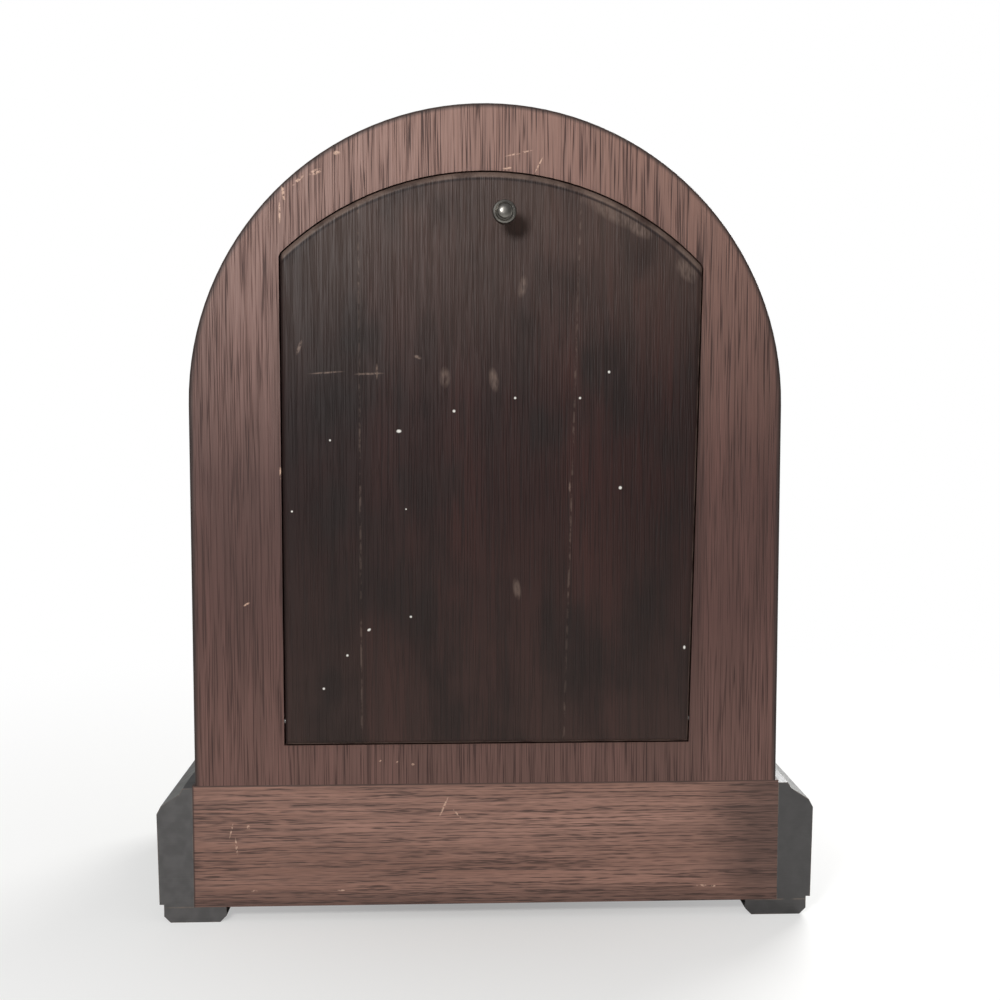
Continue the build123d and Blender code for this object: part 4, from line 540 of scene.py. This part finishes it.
    # Painted shade: a dark line inside the arch's round, where the round turns from the lamp, and a dark line
    # along the upright side in place of a wider gap
    edge_shade = add(tree, "Math", {0: arch, 1: 2.9 * MM}, operation="SUBTRACT")
    edge_shade = add(tree, "Math", {0: edge_shade}, operation="ABSOLUTE")
    edge_shade = add(tree, "MapRange", {
        "Value": edge_shade, "From Min": 0.7 * MM, "From Max": 0.2 * MM, "To Max": 0.8})
    gap_shade = add(tree, "MapRange", {
        "Value": upright, "From Min": 1.3 * MM, "From Max": 0.6 * MM, "To Max": 0.9})
    edge_shade = add(tree, "Math", {0: edge_shade, 1: gap_shade}, operation="MAXIMUM")
    ground = add(tree, "Mix", {0: edge_shade, 6: ground, 7: rgba(woods.door_dark)}, data_type="RGBA")
    specks = add(tree, "Math", {0: marks(tree, point, DOOR_SPECKS), 1: outer}, operation="MULTIPLY")
    ground = add(tree, "Mix", {0: specks, 6: ground, 7: rgba(woods.paint)}, data_type="RGBA")
    rough = add(tree, "MapRange", {"Value": relief, "To Min": 0.54, "To Max": 0.4})
    bump = add(tree, "Bump", {"Strength": 0.75, "Distance": 0.16 * MM, "Height": relief})
    link(tree, shader, Base_Color=ground, Roughness=rough, Normal=bump)
    shader.inputs["Specular IOR Level"].default_value = 0.2
    return material


def ebonised_wood(name, woods):
    """Close-grained wood under black lacquer: satin gloss, rubbed brown on its edges, faint brush lines."""
    material, tree, shader = new_material(name)
    point = add(tree, "TexCoord").outputs["Object"]
    round_edge = add(tree, "Bevel", {"Radius": 0.8 * MM}, samples=6)
    facing = add(tree, "NewGeometry").outputs["Normal"]
    same = add(tree, "VectorMath", {0: round_edge, 1: facing}, operation="DOT_PRODUCT")
    worn = add(tree, "MapRange", {"Value": same, "From Min": 0.98, "From Max": 0.85})
    patches = stretched(tree, point, (6 * MM,) * 3, 0.38, 0.6, 3.0)
    worn = add(tree, "Math", {0: worn, 1: patches}, operation="MULTIPLY")
    part = add(tree, "SeparateXYZ", {0: point})
    end = add(tree, "MapRange", {
        "Value": part.outputs["Y"], "From Min": RAIL_HIGH.y - 2 * MM, "From Max": RAIL_HIGH.y - SKIN})
    dust = stretched(tree, point, (5 * MM,) * 3, 0.3, 0.7, 4.0)
    dull = add(tree, "MapRange", {"Value": dust, "To Min": 0.8, "To Max": 1.15})
    # Painted light: the dull cut ends turn lighter towards +X, the lamp's side, and darker towards -X
    lit = add(tree, "MapRange", {
        "Value": part.outputs["X"], "From Min": -ARCH_RADIUS, "From Max": ARCH_RADIUS, "To Min": 0.65,
        "To Max": 1.2})
    dull = add(tree, "Math", {0: dull, 1: lit}, operation="MULTIPLY")
    end = add(tree, "Math", {0: end, 1: dull}, operation="MULTIPLY")
    ground = add(tree, "Mix", {0: end, 6: rgba(woods.ebony), 7: rgba(woods.ebony_end)},
                 data_type="RGBA", clamp_factor=False)
    ground = add(tree, "Mix", {0: worn, 6: ground, 7: rgba(woods.ebony_worn)}, data_type="RGBA")
    lines = stretched(tree, point, (30 * MM, 30 * MM, 0.8 * MM), 0.3, 0.7)
    rough = add(tree, "MapRange", {"Value": dust, "To Min": 0.34, "To Max": 0.42})
    bump = add(tree, "Bump", {"Strength": 0.25, "Distance": 0.08 * MM, "Height": lines})
    link(tree, shader, Base_Color=ground, Roughness=rough, Normal=bump)
    shader.inputs["Coat Weight"].default_value = 0.25
    shader.inputs["Coat Roughness"].default_value = 0.25
    return material


def bare_pine(name, woods):
    """Sawn pine that was never finished: wide pale early wood, thin brown late wood, matt."""
    material, tree, shader = new_material(name)
    point = add(tree, "TexCoord").outputs["Object"]
    part = add(tree, "SeparateXYZ", {0: point})
    space = add(tree, "CombineXYZ", {
        "X": part.outputs["Y"], "Y": part.outputs["Z"], "Z": part.outputs["X"]})
    fuzz = stretched(tree, space, (woods.pore_width, woods.pore_width, woods.pore_length), 0.3, 0.7)
    ground = pine_grain(tree, space, woods, woods.figure_width, 0.42, 0.62)
    aside = add(tree, "Math", {0: part.outputs["X"]}, operation="ABSOLUTE")
    aside = add(tree, "Math", {0: aside, 1: ARCH_RADIUS - SKIN}, operation="GREATER_THAN")
    ahead = add(tree, "Math", {0: part.outputs["Y"], 1: FRONT_LOW.y - SKIN / 2}, operation="LESS_THAN")
    outer = add(tree, "Math", {0: aside, 1: ahead}, operation="MAXIMUM")
    ground = add(tree, "Mix", {0: outer, 6: ground, 7: rgba(woods.edge_stain)}, data_type="RGBA")
    bump = add(tree, "Bump", {"Strength": 0.5, "Distance": 0.2 * MM, "Height": fuzz})
    rough = add(tree, "MapRange", {"Value": fuzz, "To Min": 0.7, "To Max": 0.85})
    link(tree, shader, Base_Color=ground, Roughness=rough, Normal=bump)
    return material


def polished_metal(name, bright, dull, mark, rough_low, rough_high):
    """A worked metal: fine polishing marks, and duller patches where it has tarnished."""
    material, tree, shader = new_material(name)
    point = add(tree, "TexCoord").outputs["Object"]
    patch = stretched(tree, point, (9 * MM,) * 3, 0.35, 0.8, 4.0)
    lines = stretched(tree, point, (mark, 6 * MM, mark), 0.3, 0.7, 3.0)
    ground = add(tree, "Mix", {0: patch, 6: rgba(bright), 7: rgba(dull)}, data_type="RGBA")
    wear = add(tree, "Math", {0: lines, 1: 0.4, 2: patch}, operation="MULTIPLY_ADD")
    rough = add(tree, "MapRange", {
        "Value": wear, "From Max": 1.4, "To Min": rough_low, "To Max": rough_high})
    bump = add(tree, "Bump", {"Strength": 0.12, "Distance": 0.03 * MM, "Height": lines})
    link(tree, shader, Base_Color=ground, Roughness=rough, Normal=bump)
    shader.inputs["Metallic"].default_value = 1.0
    return material


def cast_iron(name, metals):
    """Iron cast in sand and painted black: a coarse grit under a dull coat."""
    material, tree, shader = new_material(name)
    point = add(tree, "TexCoord").outputs["Object"]
    grit = stretched(tree, point, (metals.grit,) * 3, 0.25, 0.75, 3.0)
    rust = stretched(tree, point, (8 * MM,) * 3, 0.55, 0.75, 4.0)
    ground = add(tree, "Mix", {0: rust, 6: rgba(metals.iron), 7: rgba(metals.rust)}, data_type="RGBA")
    rough = add(tree, "MapRange", {"Value": grit, "To Min": 0.5, "To Max": 0.7})
    bump = add(tree, "Bump", {"Strength": 0.6, "Distance": 0.2 * MM, "Height": grit})
    link(tree, shader, Base_Color=ground, Roughness=rough, Normal=bump)
    return material


def dial_enamel(name, dial):
    """Cream paint on sheet metal: yellowed towards the rim and faintly spotted."""
    material, tree, shader = new_material(name)
    point = add(tree, "TexCoord").outputs["Object"]
    local = add(tree, "VectorMath", {0: point, 1: (0.0, DIAL_LOW.y, DIAL_Z)}, operation="SUBTRACT")
    out = add(tree, "VectorMath", {0: local}, operation="LENGTH")
    blotch = stretched(tree, point, (11 * MM,) * 3, 0.3, 0.8, 5.0)
    rim = add(tree, "MapRange", {"Value": out, "From Min": 30 * MM, "From Max": 75 * MM, "To Max": 0.7})
    aged = add(tree, "Math", {0: blotch, 1: rim}, operation="MULTIPLY")
    ground = add(tree, "Mix", {0: aged, 6: rgba(dial.enamel), 7: rgba(dial.enamel_aged)}, data_type="RGBA")
    spots = stretched(tree, point, (1.6 * MM,) * 3, 0.74, 0.8)
    ground = add(tree, "Mix", {0: spots, 6: ground, 7: rgba(dial.enamel_aged)}, data_type="RGBA")
    rough = add(tree, "MapRange", {"Value": blotch, "To Min": 0.38, "To Max": 0.5})
    link(tree, shader, Base_Color=ground, Roughness=rough)
    return material


def printing_ink(name, dial):
    """Black printing ink, slightly broken where it has worn."""
    material, tree, shader = new_material(name)
    point = add(tree, "TexCoord").outputs["Object"]
    worn = stretched(tree, point, (0.9 * MM,) * 3, 0.6, 0.85, 3.0)
    ground = add(tree, "Mix", {0: worn, 6: rgba(dial.ink), 7: rgba(dial.ink_worn)}, data_type="RGBA")
    link(tree, shader, Base_Color=ground)
    shader.inputs["Roughness"].default_value = 0.5
    return material


def window_glass(name, metals):
    """Clear blown glass with a little dust."""
    material, tree, shader = new_material(name)
    point = add(tree, "TexCoord").outputs["Object"]
    dust = stretched(tree, point, (5 * MM,) * 3, 0.4, 0.9, 4.0)
    rough = add(tree, "MapRange", {"Value": dust, "To Min": 0.0, "To Max": 0.06})
    link(tree, shader, Roughness=rough)
    shader.inputs["Base Color"].default_value = rgba(metals.glass)
    shader.inputs["Transmission Weight"].default_value = 1.0
    shader.inputs["IOR"].default_value = 1.5
    return material


def finish(name, make, *values):
    """A material by its name, made the first time that it is asked for."""
    return bpy.data.materials.get(name) or make(name, *values)


def dress(material, *names):
    """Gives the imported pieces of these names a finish."""
    for name in names:
        NODES[name].data.materials.clear()
        NODES[name].data.materials.append(material)


def new_piece(name, bm, material, body, stands_for=()):
    """Turns a bmesh into a piece of the clock that rides on a body."""
    bmesh.ops.remove_doubles(bm, verts=bm.verts, dist=MERGE_REACH)
    bmesh.ops.recalc_face_normals(bm, faces=bm.faces)
    mesh = bpy.data.meshes.new(name)
    bm.to_mesh(mesh)
    bm.free()
    mesh.shade_smooth()
    mesh.set_sharp_from_angle(angle=SHARP_ANGLE)
    mesh.materials.append(material)
    piece = bpy.data.objects.new(name, mesh)
    bpy.context.scene.collection.objects.link(piece)
    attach(piece, body)
    if stands_for:
        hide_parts(*stands_for)
    return piece


def turned(bm, points, centre, steps=64, closed=False):
    """Spins a profile of (radius, y) about an axis along Y through a centre."""
    ring = [bm.verts.new((centre.x + radius, y, centre.z)) for radius, y in points]
    pairs = list(zip(ring, ring[1:]))
    if closed:
        pairs.append((ring[-1], ring[0]))
    edges = [bm.edges.new(pair) for pair in pairs]
    bmesh.ops.spin(bm, geom=ring + edges, cent=centre, axis=(0.0, 1.0, 0.0), angle=2 * pi, steps=steps,
                   use_merge=True)


def clock_way(degrees):
    """The direction of a hand turned so many degrees from twelve, as seen from the dial's side."""
    return Vector((sin(radians(degrees)), 0.0, cos(radians(degrees))))


def metal(metals, kind):
    """One of the clock's metals."""
    name, bright, dull, rough_low, rough_high = {
        "brass": ("Brass, lacquered", metals.brass, metals.brass_tarnish, 0.24, 0.34),
        "bronze": ("Bronze, aged", metals.bronze, metals.bronze_dark, 0.28, 0.55),
        "blue": ("Steel, heat blued", metals.blue, metals.blue_brown, 0.2, 0.35),
        "steel": ("Steel, polished", metals.steel, metals.steel_dark, 0.22, 0.4)}[kind]
    return finish(name, polished_metal, bright, dull, metals.brush_mark, rough_low, rough_high)


# The knob's turned outline, as shares of its radius and of its reach from the door's face
KNOB_PROFILE = ((0.6, 0.0), (0.6, 0.03), (0.57, 0.045), (0.53, 0.05), (0.5, 0.2), (0.52, 0.42), (0.68, 0.6),
                (0.92, 0.68), (0.99, 0.73), (1.0, 0.78), (0.99, 0.83), (0.93, 0.87), (0.8, 0.885),
                (0.68, 0.87), (0.62, 0.885), (0.61, 0.93), (0.55, 0.97), (0.42, 0.99), (0.22, 1.0), (0.0, 1.0))


class CLOCK_OT_case(bpy.types.Operator):
    """Finish the case's boards and shell"""
    bl_idname = "clock.case"
    bl_label = "Case"

    def execute(self, context):
        woods = context.scene.clock_woods
        dress(finish("Walnut veneer, waxed", walnut_veneer, woods), "back_panel", "front_panel")
        dress(finish("Walnut veneer, bent round the shell", bent_veneer, woods), "case_shell")
        dress(finish("Pine, sawn and bare", bare_pine, woods), "base_board", "glue_blocks", "door_stop")
        return {"FINISHED"}


class CLOCK_OT_base(bpy.types.Operator):
    """Finish the rail, the plinth and the feet"""
    bl_idname = "clock.base"
    bl_label = "Base"

    def execute(self, context):
        woods = context.scene.clock_woods
        dress(finish("Mahogany, waxed", mahogany_rail, woods), "back_rail")
        dress(finish("Ebonised beech, lacquered", ebonised_wood, woods), "front_plinth", "left_plinth",
              "right_plinth", "feet")
        return {"FINISHED"}


class CLOCK_OT_back_door(bpy.types.Operator):
    """Finish the back door and its turn latch"""
    bl_idname = "clock.back_door"
    bl_label = "Back door"

    def execute(self, context):
        woods, metals = context.scene.clock_woods, context.scene.clock_metals
        dress(finish("Stained hardwood, rubbed", stained_door, woods), "back_door")
        dress(metal(metals, "steel"), "door_latch", "latch_nut", "door_pivot_pins")
        bm = bmesh.new()
        middle = (KNOB_LOW + KNOB_HIGH) / 2
        radius, face, tip = KNOB_HIGH.x - middle.x, DOOR_HIGH.y + metals.knob_gap, KNOB_HIGH.y
        profile = [(0.0, KNOB_LOW.y), (metals.knob_shank, KNOB_LOW.y), (metals.knob_shank, face)]
        profile += [(radius * share, face + (tip - face) * reach) for share, reach in KNOB_PROFILE]
        turned(bm, profile, middle)
        new_piece("turned_knob", bm, metal(metals, "bronze"), "turn_latch", ["door_knob"])
        return {"FINISHED"}


class CLOCK_OT_dial(bpy.types.Operator):
    """Paint and print the dial"""
    bl_idname = "clock.dial"
    bl_label = "Dial"

    def execute(self, context):
        dial, metals = context.scene.clock_dial, context.scene.clock_metals
        dress(finish("Cream dial paint", dial_enamel, dial), "dial")
        dress(metal(metals, "brass"), "dial_pins")
        centre = Vector((0.0, DIAL_LOW.y - dial.ink_depth / 2, DIAL_Z))
        bm = bmesh.new()
        for hour in range(1, HOURS + 1):
            way = clock_way(hour * 360 / HOURS)
            self.print_numeral(bm, dial, str(hour), centre + way * dial.numeral_radius)
        self.print_track(bm, dial, centre)
        ink = finish("Printing ink", printing_ink, dial)
        new_piece("dial_printing", bm, ink, "case")
        bm = bmesh.new()
        for side in ("time", "strike"):
            low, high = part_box(side + "_winding_arbor")
            self.make_eyelet(bm, dial, (low + high) / 2)
        new_piece("winding_eyelets", bm, metal(metals, "brass"), "case")
        return {"FINISHED"}

    def print_numeral(self, bm, dial, text, place):
        """A number set upright on the dial, as a mesh that faces the viewer."""
        curve = bpy.data.curves.new("numeral", "FONT")
        curve.body = text
        curve.size = dial.numeral_size
        curve.align_x, curve.align_y = "CENTER", "CENTER"
        curve.extrude = dial.ink_depth / 2
        holder = bpy.data.objects.new("numeral", curve)
        mesh = bpy.data.meshes.new_from_object(holder)
        bpy.data.objects.remove(holder)
        mesh.transform(Matrix.Translation(place) @ Matrix.Rotation(radians(90), 4, "X"))
        bm.from_mesh(mesh)
        bpy.data.meshes.remove(mesh)

    def print_track(self, bm, dial, centre):
        """Two rings with sixty strokes between them, the hours' strokes bolder."""
        half = Vector((dial.track_line / 2, dial.ink_depth / 2))
        for radius in (dial.track_inner, dial.track_outer):
            corners = ((-1, -1), (1, -1), (1, 1), (-1, 1))
            section = [(radius + x * half.x, centre.y + y * half.y) for x, y in corners]
            turned(bm, section, centre, steps=TRACK_STEPS, closed=True)
        middle = (dial.track_inner + dial.track_outer) / 2
        stroke = dial.track_outer - dial.track_inner
        for minute in range(MINUTES):
            angle = minute * 360 / MINUTES
            bold = HOUR_STROKE if minute % (MINUTES // HOURS) == 0 else 1.0
            size = Matrix.Diagonal((dial.track_line * bold, dial.ink_depth, stroke, 1.0))
            place = Matrix.Translation(centre + clock_way(angle) * middle)
            turn = Matrix.Rotation(radians(angle), 4, "Y")
            bmesh.ops.create_cube(bm, size=1.0, matrix=place @ turn @ size)

    def make_eyelet(self, bm, dial, place):
        """A rolled brass ring round a winding hole."""
        roll = [(dial.eyelet_radius - dial.eyelet_depth * (1 + cos(radians(turn))),
                 DIAL_LOW.y - dial.eyelet_depth * sin(radians(turn))) for turn in range(0, 181, ROLL_STEP)]
        turned(bm, roll, place, closed=True)


class CLOCK_OT_hands(bpy.types.Operator):
    """Finish the hands and their nut"""
    bl_idname = "clock.hands"
    bl_label = "Hands"

    def execute(self, context):
        metals = context.scene.clock_metals
        dress(metal(metals, "blue"), "hour_hand", "minute_hand")
        dress(metal(metals, "brass"), "hand_nut")
        return {"FINISHED"}


class CLOCK_OT_bezel(bpy.types.Operator):
    """Finish the bezel, its glass and its hinge"""
    bl_idname = "clock.bezel"
    bl_label = "Bezel"

    def execute(self, context):
        metals = context.scene.clock_metals
        dress(metal(metals, "brass"), "bezel_ring", "glass_retainer", "bezel_hinge")
        dress(metal(metals, "steel"), "bezel_hinge_pin")
        dress(finish("Clear glass", window_glass, metals), "bezel_glass")
        return {"FINISHED"}


class CLOCK_OT_movement(bpy.types.Operator):
    """Finish the movement and the pendulum"""
    bl_idname = "clock.movement"
    bl_label = "Movement"

    def execute(self, context):
        metals = context.scene.clock_metals
        dress(metal(metals, "brass"), "front_plate", "back_plate", "plate_pillars", "fixing_posts",
              "time_barrel", "strike_barrel", "second_wheel", "center_wheel", "third_wheel", "escape_wheel", "cannon_pinion",
              "minute_wheel", "hour_wheel", "pin_wheel", "locking_wheel", "strike_fly", "count_wheel",
              "suspension_cock", "pendulum_bob", "rating_nut")
        dress(metal(metals, "steel"), "movement_fasteners", "time_mainspring", "strike_mainspring",
              "time_winding_arbor", "strike_winding_arbor", "time_click", "strike_click", "pallet_anchor",
              "suspension_spring", "pendulum_rod", "count_lever", "hammer")
        return {"FINISHED"}


class CLOCK_OT_gong(bpy.types.Operator):
    """Finish the gong and its stand"""
    bl_idname = "clock.gong"
    bl_label = "Gong"

    def execute(self, context):
        metals = context.scene.clock_metals
        dress(metal(metals, "blue"), "gong_coil")
        dress(finish("Cast iron, painted", cast_iron, metals), "gong_stand")
        return {"FINISHED"}


class CLOCK_OT_stage(bpy.types.Operator):
    """Make the floor, the lamps, the world and the camera"""
    bl_idname = "clock.stage"
    bl_label = "Stage"

    def execute(self, context):
        scene, studio = context.scene, context.scene.clock_studio
        scene.view_settings.view_transform = "Standard"
        self.make_floor(scene, studio)
        self.make_world(scene)
        self.make_lamp(scene, "key_lamp", studio.key_place, studio.key_target, studio.key_size,
                       studio.key_power)
        self.make_lamp(scene, "fill_lamp", studio.fill_place, studio.fill_target, studio.fill_size,
                       studio.fill_power)
        self.make_camera(scene, studio)
        return {"FINISHED"}

    def make_floor(self, scene, studio):
        """A pale floor that keeps the shadow near the clock and turns white further off."""
        material, tree, shader = new_material("Pale floor")
        shader.inputs["Base Color"].default_value = rgba(studio.floor)
        shader.inputs["Roughness"].default_value = 0.6
        point = add(tree, "TexCoord").outputs["Object"]
        away = add(tree, "VectorMath", {0: point}, operation="LENGTH")
        far = add(tree, "MapRange", {"Value": away, "From Min": FLOOR_FADE[0], "From Max": FLOOR_FADE[1]},
                  interpolation_type="SMOOTHSTEP")
        seen = add(tree, "LightPath").outputs["Is Camera Ray"]
        far = add(tree, "Math", {0: far, 1: seen}, operation="MULTIPLY")
        white = add(tree, "Emission", {"Color": (1.0, 1.0, 1.0, 1.0), "Strength": 1.0})
        both = add(tree, "MixShader", {0: far, 1: shader, 2: white})
        link(tree, next(node for node in tree.nodes if node.type == "OUTPUT_MATERIAL"), Surface=both)
        bm = bmesh.new()
        bmesh.ops.create_grid(bm, x_segments=1, y_segments=1, size=studio.floor_size / 2)
        mesh = bpy.data.meshes.new("floor")
        bm.to_mesh(mesh)
        bm.free()
        mesh.materials.append(material)
        floor = bpy.data.objects.new("floor", mesh)
        scene.collection.objects.link(floor)

    def make_world(self, scene):
        """White where the camera and glass look; soft light from above elsewhere."""
        scene.world = bpy.data.worlds.new("studio")
        scene.world.use_nodes = True
        tree = scene.world.node_tree
        tree.nodes.clear()
        way = add(tree, "TexCoord").outputs["Generated"]
        up = add(tree, "SeparateXYZ", {0: way}).outputs["Z"]
        level = add(tree, "MapRange", {"Value": up, "From Min": SKY_FADE[0], "From Max": SKY_FADE[1],
                                       "To Min": SKY_LIGHT[0], "To Max": SKY_LIGHT[1]})
        path = add(tree, "LightPath")
        clear = add(tree, "Math", {0: path.outputs["Is Camera Ray"], 1: path.outputs["Is Transmission Ray"]},
                    operation="MAXIMUM")
        strength = add(tree, "Mix", {0: clear, 2: level, 3: 1.0}, data_type="FLOAT")
        sky = add(tree, "Background", {"Color": (1.0, 1.0, 1.0, 1.0), "Strength": strength})
        add(tree, "OutputWorld", {"Surface": sky})

    def make_lamp(self, scene, name, place, target, size, power):
        """A square soft lamp that faces a target."""
        lamp = bpy.data.lights.new(name, "AREA")
        lamp.size = size
        lamp.energy = power
        lamp_object = bpy.data.objects.new(name, lamp)
        lamp_object.location = place
        lamp_object.visible_camera = False
        lamp_object.rotation_euler = (Vector(target) - Vector(place)).to_track_quat("-Z", "Y").to_euler()
        scene.collection.objects.link(lamp_object)

    def make_camera(self, scene, studio):
        """The camera at the height and turn that show the back as a person standing behind it sees it."""
        camera = bpy.data.cameras.new("camera")
        camera.lens = studio.camera_lens
        camera.sensor_width = FILM_WIDTH
        camera.clip_start = NEAR_CLIP
        camera_object = bpy.data.objects.new("camera", camera)
        camera_object.location = studio.camera_place
        camera_object.rotation_euler = Vector(studio.camera_way).to_track_quat("-Z", "Y").to_euler()
        scene.collection.objects.link(camera_object)
        scene.camera = camera_object


class CLOCK_PT_panel(bpy.types.Panel):
    """The clock's pieces in the sidebar"""
    bl_idname = "CLOCK_PT_panel"
    bl_label = "Shelf clock"
    bl_space_type = "VIEW_3D"
    bl_region_type = "UI"
    bl_category = "Clock"

    def draw(self, context):
        for operator in OPERATORS:
            self.layout.operator(operator.bl_idname)


GROUPS = {"clock_woods": ClockWoods, "clock_metals": ClockMetals, "clock_dial": ClockDial,
          "clock_studio": ClockStudio}
OPERATORS = (CLOCK_OT_case, CLOCK_OT_base, CLOCK_OT_back_door, CLOCK_OT_dial, CLOCK_OT_hands, CLOCK_OT_bezel,
             CLOCK_OT_movement, CLOCK_OT_gong, CLOCK_OT_stage)
CLASSES = (*GROUPS.values(), *OPERATORS, CLOCK_PT_panel)


def register():
    for item in CLASSES:
        bpy.utils.register_class(item)
    for name, group in GROUPS.items():
        setattr(bpy.types.Scene, name, PointerProperty(type=group))


def unregister():
    for name in GROUPS:
        delattr(bpy.types.Scene, name)
    for item in reversed(CLASSES):
        bpy.utils.unregister_class(item)


def main():
    """Makes the clock's finish and its studio."""
    register()
    for operator in OPERATORS:
        group, call = operator.bl_idname.split(".")
        getattr(getattr(bpy.ops, group), call)()


if __name__ == "__main__":
    main()
